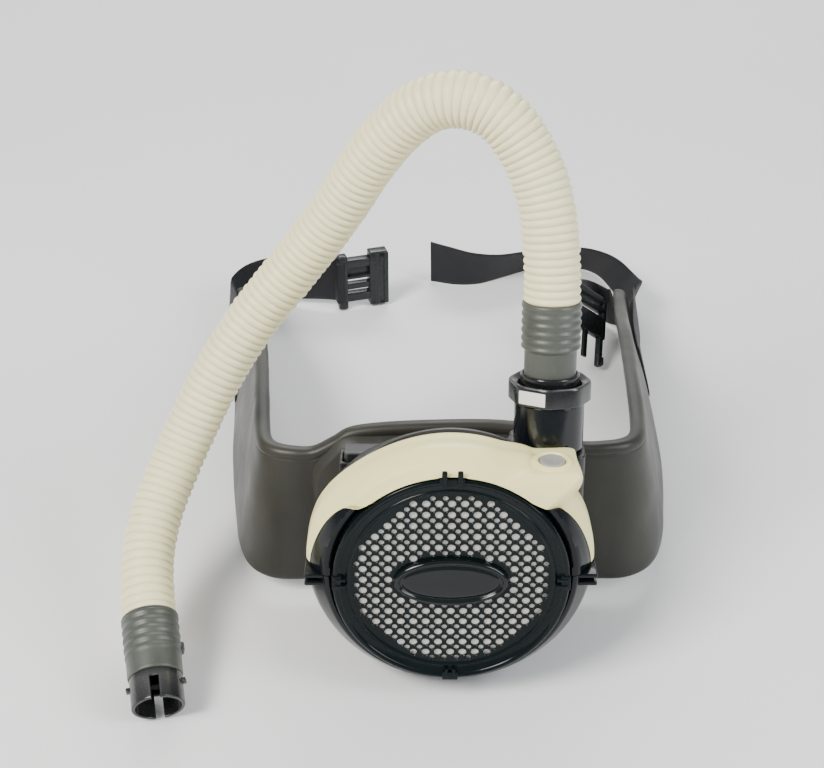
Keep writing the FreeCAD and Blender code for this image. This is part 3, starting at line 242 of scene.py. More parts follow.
def foam_skin(name, colour):
    """The belt's moulded skin: a satin leather-like film with painted vertical highlight streaks, rubbed paler
    along its edges.
    """
    n = Nodes(name)
    cloud = n.noise(9.0, 5.0, 0.6)
    base = n.mix(n.ramp(cloud, 0.3, 0.72), shade(colour, 0.72), shade(colour, 1.28))
    # painted highlight: soft vertical streaks lighten the skin like a satin sheen
    streak = n.noise(1.0, 3.0, 0.6, n.mapping((70.0, 70.0, 9.0)))
    base = n.mix(n.ramp(streak, 0.5, 0.75, 0.0, 0.35), base, shade(colour, 1.55))
    base = n.mix(n.ramp(n.noise(700.0, 3.0, 0.7), 0.6, 0.75, 0.0, 0.25), base, shade(colour, 2.2))
    base = n.mix(n.math("MULTIPLY", n.worn_edge(0.51, 0.56), 0.4), base, shade(colour, 2.0))
    vor = n.new("ShaderNodeTexVoronoi")
    vor.feature = "DISTANCE_TO_EDGE"
    vor.inputs["Scale"].default_value = 620.0
    n.link(n.coord.outputs["Object"], vor.inputs["Vector"])
    pebble = n.ramp(vor.outputs["Distance"], 0.0, 0.25)
    r = n.math("ADD", n.ramp(n.noise(26.0, 4.0), 0.3, 0.75, 0.40, 0.58), n.math("MULTIPLY", pebble, -0.04))
    normal = n.bump(pebble, 0.10, 0.0003, n.bump(n.noise(45.0, 3.0), 0.25, 0.001,
                                                 n.bump(n.noise(9.0, 2.0), 0.3, 0.004)))
    return n.finish(**{"Base Color": base, "Roughness": r, "Normal": normal, "Sheen Weight": 0.08,
                       "Sheen Roughness": 0.4, "Specular IOR Level": 0.36})


def webbing(name, colour):
    """Woven nylon webbing: U runs along the strap in metres, V across it."""
    n = Nodes(name)
    uv = n.coord.outputs["UV"]
    sep = n.new("ShaderNodeSeparateXYZ")
    n.link(uv, sep.inputs[0])
    u, v = sep.outputs[0], sep.outputs[1]
    warp = n.math("SINE", n.math("MULTIPLY", v, 2 * math.pi / 0.0016))
    weft = n.math("SINE", n.math("ADD", n.math("MULTIPLY", u, 2 * math.pi / 0.0022),
                                 n.math("MULTIPLY", n.math("SIGN", warp), math.pi / 2)))
    weave = n.math("ADD", n.math("MULTIPLY", n.math("ABSOLUTE", warp), 0.6), n.math("MULTIPLY", weft, 0.4))
    cloud = n.noise(30.0, 4.0)
    base = n.mix(n.ramp(cloud, 0.3, 0.7), shade(colour, 0.8), shade(colour, 1.25))
    base = n.mix(n.ramp(weave, -0.2, 0.9, 0.0, 0.7), shade(colour, 0.45), base)
    fuzz = n.noise(2600.0, 2.0, 0.7)
    base = n.mix(n.ramp(fuzz, 0.62, 0.8, 0.0, 0.3), base, shade(colour, 3.0))
    normal = n.bump(weave, 0.7, 0.00025, n.bump(n.noise(60.0), 0.3, 0.001))
    return n.finish(**{"Base Color": base, "Roughness": n.ramp(fuzz, 0.3, 0.7, 0.5, 0.75),
                       "Normal": normal, "Sheen Weight": 0.06, "Sheen Roughness": 0.35,
                       "Specular IOR Level": 0.4})


def fleece(name, colour):
    n = Nodes(name)
    fibre = n.noise(1.0, 3.0, 0.7, n.mapping((2600.0, 400.0, 500.0), rotation=(0.4, 0.3, 0.8)))
    fibre2 = n.noise(1.0, 3.0, 0.7, n.mapping((400.0, 700.0, 2600.0), rotation=(0.2, 0.9, 0.4)))
    f = n.math("MAXIMUM", fibre, fibre2)
    base = n.mix(n.ramp(f, 0.4, 0.75), shade(colour, 0.62), shade(colour, 1.12))
    base = n.mix(n.ramp(n.noise(35.0, 4.0), 0.35, 0.7, 0.0, 0.55), base, shade(colour, 0.55))
    return n.finish(**{"Base Color": base, "Roughness": 0.9, "Sheen Weight": 0.3,
                       "Normal": n.bump(f, 0.8, 0.0006)})


def metal(name, colour, rough=0.3, aniso=True):
    n = Nodes(name)
    brush = n.noise(1.0, 3.0, 0.6, n.mapping((300.0, 6000.0, 300.0) if aniso else (900.0, 900.0, 900.0)))
    base = n.mix(n.ramp(n.noise(60.0, 3.0), 0.3, 0.7), shade(colour, 0.8), shade(colour, 1.1))
    return n.finish(**{"Base Color": base, "Metallic": 1.0,
                       "Roughness": n.ramp(brush, 0.3, 0.7, rough - 0.08, rough + 0.12),
                       "Normal": n.bump(brush, 0.15, 0.0001)})


CREAM = (0.89, 0.82, 0.37)
M = {
    "cover_black": plastic("cover_black", (0.0028, 0.0056, 0.0062), 0.13, vary=0.2, scuff=0.3, coat=0.0,
                           dust=0.02, spec=0.15),
    "badge_black": plastic("badge_black", (0.003, 0.0055, 0.0055), 0.07, vary=0.15, scuff=0.2, coat=0.0,
                           dust=0.02, spec=0.34),
    "ring_black": plastic("ring_black", (0.0035, 0.0055, 0.007), 0.15, vary=0.2, scuff=0.35, dust=0.02, spec=0.22),
    "port_black": plastic("port_black", (0.0035, 0.005, 0.007), 0.09, vary=0.15, scuff=0.3, coat=0.0, dust=0.02, spec=0.4),
    "collar_black": plastic("collar_black", (0.006, 0.007, 0.0085), 0.2, grain=0.25, grain_scale=1500.0,
                            vary=0.2, scuff=0.5, dust=0.12, edge=0.5, edge_colour=(0.12, 0.12, 0.12)),
    "connector_black": plastic("connector_black", (0.005, 0.0055, 0.006), 0.2, vary=0.2, scuff=0.4,
                               dust=0.06, edge=0.3, edge_colour=(0.12, 0.12, 0.12)),
    "shell_cream": plastic("shell_cream", CREAM, 0.34, grain=0.12, grain_scale=1300.0, vary=0.04, scuff=0.35,
                           subsurface=0.04, coat=0.12, dust=0.04),
    "battery_black": plastic("battery_black", (0.011, 0.012, 0.012), 0.32, grain=0.3, grain_scale=1300.0,
                             vary=0.2, scuff=0.4, dust=0.06, edge=0.5, edge_colour=(0.14, 0.14, 0.13)),
    "housing_black": plastic("housing_black", (0.008, 0.008, 0.0085), 0.36, grain=0.5, grain_scale=1100.0,
                             vary=0.2, scuff=0.3, dust=0.06, edge=0.25, edge_colour=(0.08, 0.08, 0.08)),
    "latch_black": plastic("latch_black", (0.01, 0.01, 0.01), 0.4, grain=0.4, vary=0.2),
    "buckle_black": plastic("buckle_black", (0.0060, 0.0075, 0.0080), 0.24, grain=0.2, grain_scale=1500.0,
                            vary=0.25, scuff=0.35, dust=0.03, edge=0.35, edge_colour=(0.07, 0.08, 0.08), spec=0.3),
    "button_grey": rubber("button_grey", (0.30, 0.295, 0.275), 0.45),
    "label_white": plastic("label_white", (0.80, 0.79, 0.75), 0.5, grain=0.3, vary=0.05, scuff=0.2, dust=0.25),
    "cuff_grey": rubber("cuff_grey", (0.060, 0.066, 0.055), 0.40),
    "seal_rubber": rubber("seal_rubber", (0.02, 0.02, 0.02), 0.5),
    "hose_ivory": hose_plastic("hose_ivory", (0.91, 0.84, 0.53)),
    "belt_foam": foam_skin("belt_foam", (0.0205, 0.0202, 0.0155)),
    "webbing_black": webbing("webbing_black", (0.0060, 0.0068, 0.0098)),
    "prefilter_fleece": fleece("prefilter_fleece", (0.95, 0.92, 0.84)),
    "pleated_media": fleece("pleated_media", (0.85, 0.85, 0.80)),
    "cartridge_grey": plastic("cartridge_grey", (0.35, 0.35, 0.33), 0.45, grain=0.3),
    "inner_plastic": plastic("inner_plastic", (0.05, 0.05, 0.05), 0.45, grain=0.4),
    "fan_plastic": plastic("fan_plastic", (0.12, 0.12, 0.125), 0.4, grain=0.3),
    "component_black": plastic("component_black", (0.02, 0.02, 0.02), 0.45, grain=0.3),
    "board_green": plastic("board_green", (0.02, 0.11, 0.04), 0.3, coat=0.4),
    "screw_steel": metal("screw_steel", (0.6, 0.6, 0.6), 0.28),
    "motor_steel": metal("motor_steel", (0.6, 0.6, 0.62), 0.3),
    "bearing_steel": metal("bearing_steel", (0.7, 0.7, 0.7), 0.2),
    "mount_aluminium": metal("mount_aluminium", (0.75, 0.75, 0.76), 0.35),
    "stator_iron": metal("stator_iron", (0.3, 0.25, 0.22), 0.5, False),
    "contact_brass": metal("contact_brass", (0.8, 0.6, 0.25), 0.25),
}

slot_of = {s["node"]: s["material_slot"] for s in frame["record"]["subparts"]}
M["battery_cream"] = M["battery_black"]
for node, obj in NODES.items():
    obj.data.materials.clear()
    obj.data.materials.append(M[slot_of[node]])

# ---------------------------------------------------------------------------
# Mesh helpers
# ---------------------------------------------------------------------------


def build(name, verts, faces, material, place=D, sharp=35.0, uv=None):
    """A smooth-shaded mesh object from millimetre points in the frame place."""
    me = bpy.data.meshes.new(name)
    me.from_pydata([place @ Vector(v) for v in verts], [], faces)
    bm = bmesh.new()
    bm.from_mesh(me)
    bmesh.ops.recalc_face_normals(bm, faces=bm.faces)
    bm.to_mesh(me)
    bm.free()
    me.validate()
    if uv is not None:
        layer = me.uv_layers.new(name="weave")
        for loop in me.loops:
            layer.data[loop.index].uv = uv[loop.vertex_index]
    for p in me.polygons:
        p.use_smooth = True
    if sharp:
        me.set_sharp_from_angle(angle=math.radians(sharp))
    me.materials.append(material)
    ob = bpy.data.objects.new(name, me)
    scene.collection.objects.link(ob)
    return ob


def soft_poly(points, radius, n=4, closed=True):
    """A polygon with each corner rounded; radius may be one number or one per corner."""
    out = []
    count = len(points)
    for i, p in enumerate(points):
        r = radius[i] if isinstance(radius, (list, tuple)) else radius
        if not closed and i in (0, count - 1) or r <= 0:
            out.append(tuple(p))
            continue
        a, b = Vector(points[i - 1]), Vector(points[(i + 1) % count])
        p = Vector(p)
        da, db = (a - p), (b - p)
        t = min(r, 0.46 * da.length, 0.46 * db.length)
        pa, pb = p + da.normalized() * t, p + db.normalized() * t
        for k in range(n + 1):
            s = k / n
            q = pa * (1 - s) ** 2 + p * 2 * s * (1 - s) + pb * s * s
            out.append((q.x, q.y))
    return out


def lathe(name, profile, place, material, segs=192, a0=0.0, a1=360.0, sharp=35.0):
    """Turns a closed (radius, z) profile about Z, all the way or from a0 to a1."""
    full = abs(a1 - a0) > 359.9
    n = len(profile)
    steps = segs if full else max(8, int(segs * abs(a1 - a0) / 360.0))
    rings = steps if full else steps + 1
    verts, faces = [], []
    for i in range(rings):
        a = math.radians(a0 + (a1 - a0) * i / steps)
        for r, z in profile:
            verts.append((r * math.cos(a), r * math.sin(a), z))
    for i in range(steps):
        j = (i + 1) % rings
        for k in range(n):
            m = (k + 1) % n
            if profile[k][0] < 1e-6 and profile[m][0] < 1e-6:
                continue
            faces.append((i * n + k, j * n + k, j * n + m, i * n + m))
    if not full:
        faces.append(tuple(range(n)))
        faces.append(tuple((rings - 1) * n + k for k in range(n))[::-1])
    return weld(build(name, verts, faces, material, place, 0), 1e-7, sharp)


def weld(ob, dist=1e-6, sharp=35.0):
    bm = bmesh.new()
    bm.from_mesh(ob.data)
    bmesh.ops.remove_doubles(bm, verts=bm.verts, dist=dist)
    bmesh.ops.dissolve_degenerate(bm, edges=bm.edges, dist=1e-8)
    bmesh.ops.recalc_face_normals(bm, faces=bm.faces)
    bm.to_mesh(ob.data)
    bm.free()
    for p in ob.data.polygons:
        p.use_smooth = True
    if sharp:
        ob.data.set_sharp_from_angle(angle=math.radians(sharp))
    return ob


def polar(name, loops, place, material, n=192, sharp=35.0, close=True):
    """Skins loops of (radius function of angle, z); close joins the last loop to the first."""
    verts, faces = [], []
    for rf, z in loops:
        for i in range(n):
            a = 2 * math.pi * i / n
            r = rf(a)
            verts.append((r * math.cos(a), r * math.sin(a), z))
    m = len(loops)
    for k in range(m if close else m - 1):
        q = (k + 1) % m
        for i in range(n):
            j = (i + 1) % n
            faces.append((k * n + i, k * n + j, q * n + j, q * n + i))
    return build(name, verts, faces, material, place, sharp)


def block(name, lo, hi, place, material, r=0.8, segs=3):
    """A box with rounded edges."""
    x0, y0, z0 = lo
    x1, y1, z1 = hi
    v = [(x, y, z) for x in (x0, x1) for y in (y0, y1) for z in (z0, z1)]
    f = [(0, 1, 3, 2), (4, 6, 7, 5), (0, 4, 5, 1), (2, 3, 7, 6), (0, 2, 6, 4), (1, 5, 7, 3)]
    ob = build(name, v, f, material, place, 0)
    bm = bmesh.new()
    bm.from_mesh(ob.data)
    bmesh.ops.recalc_face_normals(bm, faces=bm.faces)
    bmesh.ops.bevel(bm, geom=bm.edges[:], offset=r * 0.001, segments=segs, profile=0.5,
                    affect="EDGES", clamp_overlap=True)
    bm.to_mesh(ob.data)
    bm.free()
    for p in ob.data.polygons:
        p.use_smooth = True
    ob.data.set_sharp_from_angle(angle=math.radians(45))
    return ob


def join(name, objs):
    """Joins pieces into the first one."""
    bm = bmesh.new()
    mats = []
    for ob in objs:
        start = len(bm.faces)
        bm.from_mesh(ob.data)
        bm.faces.ensure_lookup_table()
        mat = ob.data.materials[0]
        if mat not in mats:
            mats.append(mat)
        for f in bm.faces[start:]:
            f.material_index = mats.index(mat)
    me = bpy.data.meshes.new(name)
    bm.to_mesh(me)
    bm.free()
    for m in mats:
        me.materials.append(m)
    out = bpy.data.objects.new(name, me)
    scene.collection.objects.link(out)
    for ob in objs:
        old = ob.data
        bpy.data.objects.remove(ob)
        bpy.data.meshes.remove(old)
    return out


def applied(ob):
    """Replaces a piece's mesh by what its modifiers make of it."""
    bpy.context.view_layer.update()
    me = bpy.data.meshes.new_from_object(ob.evaluated_get(bpy.context.evaluated_depsgraph_get()))
    old = ob.data
    ob.modifiers.clear()
    ob.data = me
    bpy.data.meshes.remove(old)
    return ob


def moulded(name, node, material, voxel=0.7, smooth=8, sharp=0.0):
    """A softened copy of a CAD node: the same shape with the edges a mould gives."""
    me = NODES[node].data.copy()
    me.materials.clear()
    me.materials.append(material)
    ob = bpy.data.objects.new(name, me)
    scene.collection.objects.link(ob)
    weld(ob, 1e-6, 0)
    mod = ob.modifiers.new("skin", "REMESH")
    mod.mode = "VOXEL"
    mod.voxel_size = voxel * 0.001
    mod.use_smooth_shade = True
    if smooth:
        sm = ob.modifiers.new("ease", "SMOOTH")
        sm.factor = 0.5
        sm.iterations = smooth
    applied(ob)
    for p in ob.data.polygons:
        p.use_smooth = True
    if sharp:
        ob.data.set_sharp_from_angle(angle=math.radians(sharp))
    return ob


def bevelled(name, node, material, width=0.5, segs=2, angle=30.0):
    """A copy of a CAD node with its edges broken by a small bevel."""
    me = NODES[node].data.copy()
    me.materials.clear()
    me.materials.append(material)
    ob = bpy.data.objects.new(name, me)
    scene.collection.objects.link(ob)
    weld(ob, 1e-6, 0)
    bm = bmesh.new()
    bm.from_mesh(ob.data)
    bmesh.ops.dissolve_limit(bm, angle_limit=math.radians(1.0), verts=bm.verts, edges=bm.edges)
    bm.to_mesh(ob.data)
    bm.free()
    mod = ob.modifiers.new("bevel", "BEVEL")
    mod.width = width * 0.001
    mod.segments = segs
    mod.limit_method = "ANGLE"
    mod.angle_limit = math.radians(angle)
    mod.use_clamp_overlap = True
    mod.harden_normals = False
    applied(ob)
    for p in ob.data.polygons:
        p.use_smooth = True
    ob.data.set_sharp_from_angle(angle=math.radians(40))
    return ob


def stands_for(ob, body, *nodes):
    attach(ob, body)
    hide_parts(*nodes)
    return ob


def spline(points, per=8):
    """Catmull-Rom through rows of numbers."""
    p = np.array(points, float)
    ext = np.vstack([2 * p[0] - p[1], p, 2 * p[-1] - p[-2]])
    out = []
    for i in range(len(p) - 1):
        a, b, c, d = ext[i:i + 4]
        for k in range(per):
            t = k / per
            out.append(0.5 * ((2 * b) + (c - a) * t + (2 * a - 5 * b + 4 * c - d) * t ** 2
                              + (3 * b - a - 3 * c + d) * t ** 3))
    out.append(p[-1])
    return np.array(out)


# ---------------------------------------------------------------------------
# The breathing hose
# ---------------------------------------------------------------------------
ROUTE = [(0.0668, 0.077514, 0.265711), (0.0668, 0.084231, 0.305853), (0.0559, 0.0964, 0.3536),
         (0.0274, 0.1060, 0.3919), (-0.0130, 0.1171, 0.3938), (-0.0482, 0.1320, 0.3566),
         (-0.0770, 0.1459, 0.3052), (-0.1088, 0.1528, 0.2604), (-0.1420, 0.1528, 0.2192),
         (-0.1711, 0.1458, 0.1735), (-0.1948, 0.1308, 0.1265), (-0.2124, 0.1020, 0.0900),
         (-0.2183, 0.0687, 0.0630), (-0.2115, 0.0380, 0.0435)]
LEAN_M = Matrix.Translation(SHIFT * 0.001) @ Matrix.Rotation(-math.radians(LEAN_DEG), 4, "X")
curve = bpy.data.curves.new("hose_route", "CURVE")
curve.dimensions = "3D"
line = curve.splines.new("NURBS")
line.points.add(len(ROUTE) - 1)
for p, co in zip(line.points, ROUTE):
    p.co = (*(LEAN_M @ Vector(co)), 1.0)
line.order_u = 3
line.use_endpoint_u = True
line.resolution_u = 48
route_ob = bpy.data.objects.new("hose_route", curve)
scene.collection.objects.link(route_ob)
bpy.context.view_layer.update()
route_mesh = bpy.data.meshes.new_from_object(route_ob)
route = np.array([v.co[:] for v in route_mesh.vertices])
bpy.data.objects.remove(route_ob)
bpy.data.meshes.remove(route_mesh)
cum = np.concatenate([[0], np.cumsum(np.linalg.norm(np.diff(route, axis=0), axis=1))])
HOSE_LEN = float(cum[-1])


def hose_at(s):
    return np.array([np.interp(s, cum, route[:, k]) for k in range(3)])


# the rings stand 5.2 mm apart at the port and 6.4 mm apart at the free end
PITCH0, PITCH1 = 0.0052, 0.0064
spread = (PITCH1 - PITCH0) / HOSE_LEN
ribs = int(round(math.log(PITCH1 / PITCH0) / spread))
per_rib = 8
around = 60
rings_n = ribs * per_rib + 1
stations = (np.exp(np.linspace(0.0, math.log(PITCH1 / PITCH0), rings_n)) - 1.0) * PITCH0 / spread
stations[-1] = HOSE_LEN
centres = np.array([hose_at(s) for s in stations])
# ease the sampled line so that no facet of it shows
for _ in range(6):
    centres[1:-1] = 0.25 * centres[:-2] + 0.5 * centres[1:-1] + 0.25 * centres[2:]
# the last run reaches a little further along its own line
run = (Vector((-211.5, 38.0, 43.5)) - Vector((-218.3, 68.7, 63.0))).normalized()
pull = np.clip((stations - (HOSE_LEN - 0.08)) / 0.08, 0.0, 1.0)
pull = pull * pull * (3 - 2 * pull)
centres += pull[:, None] * np.array(D.to_3x3() @ (run * 4.0))
tangent = np.gradient(centres, axis=0)
tangent /= np.linalg.norm(tangent, axis=1)[:, None]
side = np.cross(tangent[0], (0, 1, 0))
side /= np.linalg.norm(side)
verts, faces = [], []
for i in range(rings_n):
    side = side - tangent[i] * side.dot(tangent[i])
    side /= np.linalg.norm(side)
    other = np.cross(tangent[i], side)
    t = (i % per_rib) / per_rib
    crest = (0.5 - 0.5 * math.cos(2 * math.pi * t)) ** 0.42
    r = 0.0173 + 0.0017 * crest
    wob = 0.00012 * math.sin(i * 0.37) + 0.0001 * math.sin(i * 0.11 + 1.0)
    for k in range(around):
        a = 2 * math.pi * k / around
        verts.append(Vector(centres[i] + (r + wob) * (math.cos(a) * side + math.sin(a) * other)))
inner_rows = list(range(0, rings_n, per_rib))
base = len(verts)
side = np.cross(tangent[0], (0, 1, 0))
side /= np.linalg.norm(side)
for i in range(rings_n):
    side = side - tangent[i] * side.dot(tangent[i])
    side /= np.linalg.norm(side)
    if i % per_rib:
        continue
    other = np.cross(tangent[i], side)
    for k in range(around):
        a = 2 * math.pi * k / around
        verts.append(Vector(centres[i] + 0.0158 * (math.cos(a) * side + math.sin(a) * other)))
for i in range(rings_n - 1):
    for k in range(around):
        m = (k + 1) % around
        faces.append((i * around + k, i * around + m, (i + 1) * around + m, (i + 1) * around + k))
for i in range(len(inner_rows) - 1):
    for k in range(around):
        m = (k + 1) % around
        faces.append((base + (i + 1) * around + k, base + (i + 1) * around + m,
                      base + i * around + m, base + i * around + k))
last_out, last_in = (rings_n - 1) * around, base + (len(inner_rows) - 1) * around
for k in range(around):
    m = (k + 1) % around
    faces.append((k, base + k, base + m, m))
    faces.append((last_out + k, last_out + m, last_in + m, last_in + k))
hose = build("hose_corrugated", verts, faces, M["hose_ivory"], Matrix.Identity(4), 0)
stands_for(hose, "root", "breathing_hose")

# the far end's frame: along the hose's last run
E0, E1 = Vector((-211.5, 38.0, 43.5)), Vector((-218.3, 68.7, 63.0))
FAR_DIR = (E0 - E1).normalized()
E0 = E0 + FAR_DIR * 4.0
FAR_DIR = (FAR_DIR + Vector((0.0, -0.02, 0.085))).normalized()
xr = Vector((1, 0, 0)) - FAR_DIR * FAR_DIR.x
FAR_LEN = 68.5
FAR = D @ axes(E0, xr, FAR_DIR)


def ribbed(s0, s1, plain, r_plain, r_rib, swell, pitch, lip):
    """Outer profile of a soft cuff from s0 to s1: a plain neck, then soft rings."""
    pts = []
    n = 90
    for i in range(n + 1):
        s = s0 + (s1 - s0) * i / n
        if s < plain:
            r = r_plain
        else:
            k = min(1.0, (s - plain) / 3.0)
            wave = 0.5 - 0.5 * math.cos(2 * math.pi * (s - plain) / pitch)
            r = r_plain + (r_rib - r_plain) * k * k * (3 - 2 * k) + swell * wave * k
        if s1 - s < 2.6:
            r = r_rib + lip - max(0.0, 1.2 - (s1 - s)) ** 2 * 0.5
        pts.append((r, s))
    return pts


cuff_prof = ribbed(38.2, 94.0, 61.0, 17.6, 19.1, 0.95, 5.6, 0.9)
cuff_prof[0] = (17.2, 38.2)
cuff = lathe("hose_cuff_soft", cuff_prof + [(15.5, 94.0), (15.5, 38.2)], PORT, M["cuff_grey"], 144)
stands_for(cuff, "root", "hose_cuff")

far_prof = []
for i in range(91):
    s = 46.4 * i / 90
    wave = 0.5 - 0.5 * math.cos(2 * math.pi * s / 6.8)
    fade = max(0.0, 1.0 - max(0.0, s - 28.0) / 6.0)
    r = 19.15 + 0.95 * wave * fade
    if s < 1.4:
        r = 20.1 - (1.4 - s) ** 2 * 0.35
    if s > 45.0:
        r -= (s - 45.0) ** 2 * 0.35
    far_prof.append((r, s))
far_cuff = lathe("far_cuff_soft", far_prof + [(15.4, 46.4), (15.4, 0.0)], FAR, M["cuff_grey"], 144)
bump = block("far_cuff_bump", (0, -3.2, 21.0), (3.6, 3.2, 29.0),
             FAR @ Matrix.Rotation(math.radians(-12), 4, "Z") @ Matrix.Translation((18.2, 0, 0)),
             M["cuff_grey"], 1.5, 4)
far_cuff = join("far_cuff", [far_cuff, bump])
stands_for(far_cuff, "root", "mask_end_cuff")

# slotted connector: a thin-walled tube with two open slots and two lugs
slots = [-93.0, 88.0]
half_slot = math.degrees(3.1 / 17.0)
slot_root = FAR_LEN - 17.0
parts = []
parts.append(lathe("far_root", soft_poly([(13.6, 30.0), (15.3, 30.0), (15.3, 46.5), (18.2, 46.5),
                                          (18.2, slot_root), (15.7, slot_root), (15.7, 47.5),
                                          (13.6, 44.5)], [0.3, 0.3, 0.2, 0.6, 0, 0, 0.6, 0.4]),
                   FAR, M["connector_black"], 144))
for i in range(2):
    a0 = slots[i] + half_slot
    a1 = slots[(i + 1) % 2] - half_slot
    if a1 < a0:
        a1 += 360.0
    tip = lathe("far_tip%d" % i, soft_poly([(15.7, slot_root - 0.01), (18.2, slot_root - 0.01),
                                            (18.2, FAR_LEN), (15.7, FAR_LEN)],
                                           [0, 0, 0.9, 0.7]), FAR, M["connector_black"], 144, a0, a1)
    parts.append(tip)
for i, a in enumerate((6, 180)):
    parts.append(block("far_lug%d" % i, (17.4, -2.6, 51.0), (20.8, 2.6, 54.2),
                       FAR @ Matrix.Rotation(math.radians(a), 4, "Z"), M["connector_black"], 0.7))
far_conn = join("far_connector", parts)
stands_for(far_conn, "root", "mask_end_connector")

# ---------------------------------------------------------------------------
# Filter cover
# ---------------------------------------------------------------------------
rim = lathe("cover_rim", soft_poly(
    [(66.6, 3.3), (67.6, 3.0), (68.6, 2.2), (69.6, 2.2), (70.4, 3.0), (74.6, 1.5), (75.2, 0.8),
     (76.8, 0.0), (79.1, 1.2), (79.1, 12.0), (76.7, 12.0), (76.7, 3.6), (70.0, 5.0), (68.4, 5.6),
     (66.6, 5.6)],
    [0.1, 0.4, 0.5, 0.5, 0.6, 0.5, 0.5, 1.2, 1.4, 0.4, 0.4, 0.5, 0.5, 0.3, 0.1]),
    disc(), M["cover_black"], 288, sharp=50)


def grille(name, radius, pitch, big, small, badge, place, material):
    """A round plate with its two sizes of hole, each with a small chamfer in front."""
    holes = []
    for row in range(-18, 19):
        for col in range(-18, 19):
            if (row + col) % 2:
                continue
            u, v = col * pitch / 2.0, row * pitch / 2.0
            r = big if row % 2 == 0 else small
            room = radius - 0.5 - math.hypot(u, v)
            if room < 1.3:
                continue
            r = min(r, room)
            if (u / (badge[0] + 1.9)) ** 2 + (v / (badge[1] + 1.9)) ** 2 < 1:
                continue
            holes.append((u, v, r))
    n_out = 240
    pts, edges = [], []
    for i in range(n_out):
        a = 2 * math.pi * i / n_out
        pts.append(Vector((radius * math.cos(a), radius * math.sin(a))))
        edges.append((i, (i + 1) % n_out))
    chamfer = 0.3
    loops = []
    for u, v, r in holes:
        k = 18 if r > 2 else 12
        start = len(pts)
        for i in range(k):
            a = 2 * math.pi * (i + 0.5) / k
            pts.append(Vector((u + (r + chamfer) * math.cos(a), v + (r + chamfer) * math.sin(a))))
            edges.append((start + i, start + (i + 1) % k))
        loops.append((start, k, u, v, r))
    co, _, tris, _, _, _ = delaunay_2d_cdt(pts, edges, [], 0, 1e-6)
    hole_at = np.array([(u, v) for u, v, r in holes])
    hole_r = np.array([r for u, v, r in holes])
    keep = []
    for f in tris:
        c = sum((co[i] for i in f), Vector((0, 0))) / 3.0
        d = np.hypot(hole_at[:, 0] - c.x, hole_at[:, 1] - c.y)
        if c.length < radius and not (d < hole_r + chamfer * 0.9).any():
            keep.append(tuple(f))
    n = len(co)
    y0, y1, y2 = 3.3, 3.6, 4.7
    verts = [(c.x, -c.y, y0) for c in co]
    faces = list(keep)
    for start, k, u, v, r in loops:
        rows = []
        for rr, y in ((r, y1), (r, y2)):
            rows.append(len(verts))
            for i in range(k):
                a = 2 * math.pi * (i + 0.5) / k
                verts.append((u + rr * math.cos(a), -(v + rr * math.sin(a)), y))
        for i in range(k):
            j = (i + 1) % k
            faces.append((start + i, start + j, rows[0] + j, rows[0] + i))
            faces.append((rows[0] + i, rows[0] + j, rows[1] + j, rows[1] + i))
    return build(name, verts, faces, material, place, 25)


grille_plate = grille("cover_grille", 67.0, 8.4, 2.72, 1.95, (38.4, 18.2), disc(), M["cover_black"])
tab_parts = [rim, grille_plate]
for k, a in enumerate((0, 180, 270)):
    at = disc(a)
    tab_parts.append(block("tab%d" % k, (73.0, -5.4, -0.6), (79.3, 5.4, 8.0), at, M["cover_black"], 0.7))
    for j, dy in enumerate((-3.6, 1.4)):
        tab_parts.append(block("tab_rib%d%d" % (k, j), (70.0, dy, -1.3), (77.6, dy + 2.2, 2.0), at,
                               M["cover_black"], 0.5))
at = disc(90)
tab_parts.append(block("tab_top", (73.5, -8.2, 0.2), (79.6, 8.2, 8.4), at, M["cover_black"], 0.8))
for j, dy in enumerate((-6.9, 3.3)):
    tab_parts.append(block("prong%d" % j, (75.6, dy, -3.0), (86.4, dy + 3.6, -0.4), at, M["cover_black"], 0.9))
    tab_parts.append(block("prong_nib%d" % j, (73.6, dy + 0.6, -0.6), (76.8, dy + 3.0, 2.0), at,
                           M["cover_black"], 0.5))
cover = join("cover_and_grille", tab_parts)
stands_for(cover, "cover", "filter_cover")

# blank oval badge: rim, groove and a shallow dome
a_b, b_b = 38.4, 18.2
steps = [(0.0, 3.6), (0.0, 1.2), (0.25, 0.2), (0.8, -0.6), (1.7, -1.15), (2.7, -1.2), (3.4, -0.8),
         (3.9, 0.1), (4.5, 0.75), (5.3, 0.8), (6.0, 0.35), (6.9, -0.05)]
verts, faces = [], []
seg = 160
for d, y in steps:
    for i in range(seg):
        a = 2 * math.pi * i / seg
        verts.append(((a_b - d) * math.cos(a), (b_b - d) * math.sin(a), y))
rings = len(steps)
for q in range(1, 9):
    k = 1 - q / 9.0
    for i in range(seg):
        a = 2 * math.pi * i / seg
        verts.append(((a_b - 6.9) * k * math.cos(a), (b_b - 6.9) * k * math.sin(a),
                      -0.05 - 1.0 * (1 - k * k)))
    rings += 1
verts.append((0, 0, -1.06))
for k in range(rings - 1):
    for i in range(seg):
        j = (i + 1) % seg
        faces.append((k * seg + i, k * seg + j, (k + 1) * seg + j, (k + 1) * seg + i))
for i in range(seg):
    faces.append(((rings - 1) * seg + i, (rings - 1) * seg + (i + 1) % seg, len(verts) - 1))
faces.append(tuple(range(seg))[::-1])
badge = build("oval_badge", verts, faces, M["badge_black"], disc(), 50)
stands_for(badge, "cover", "cover_badge")

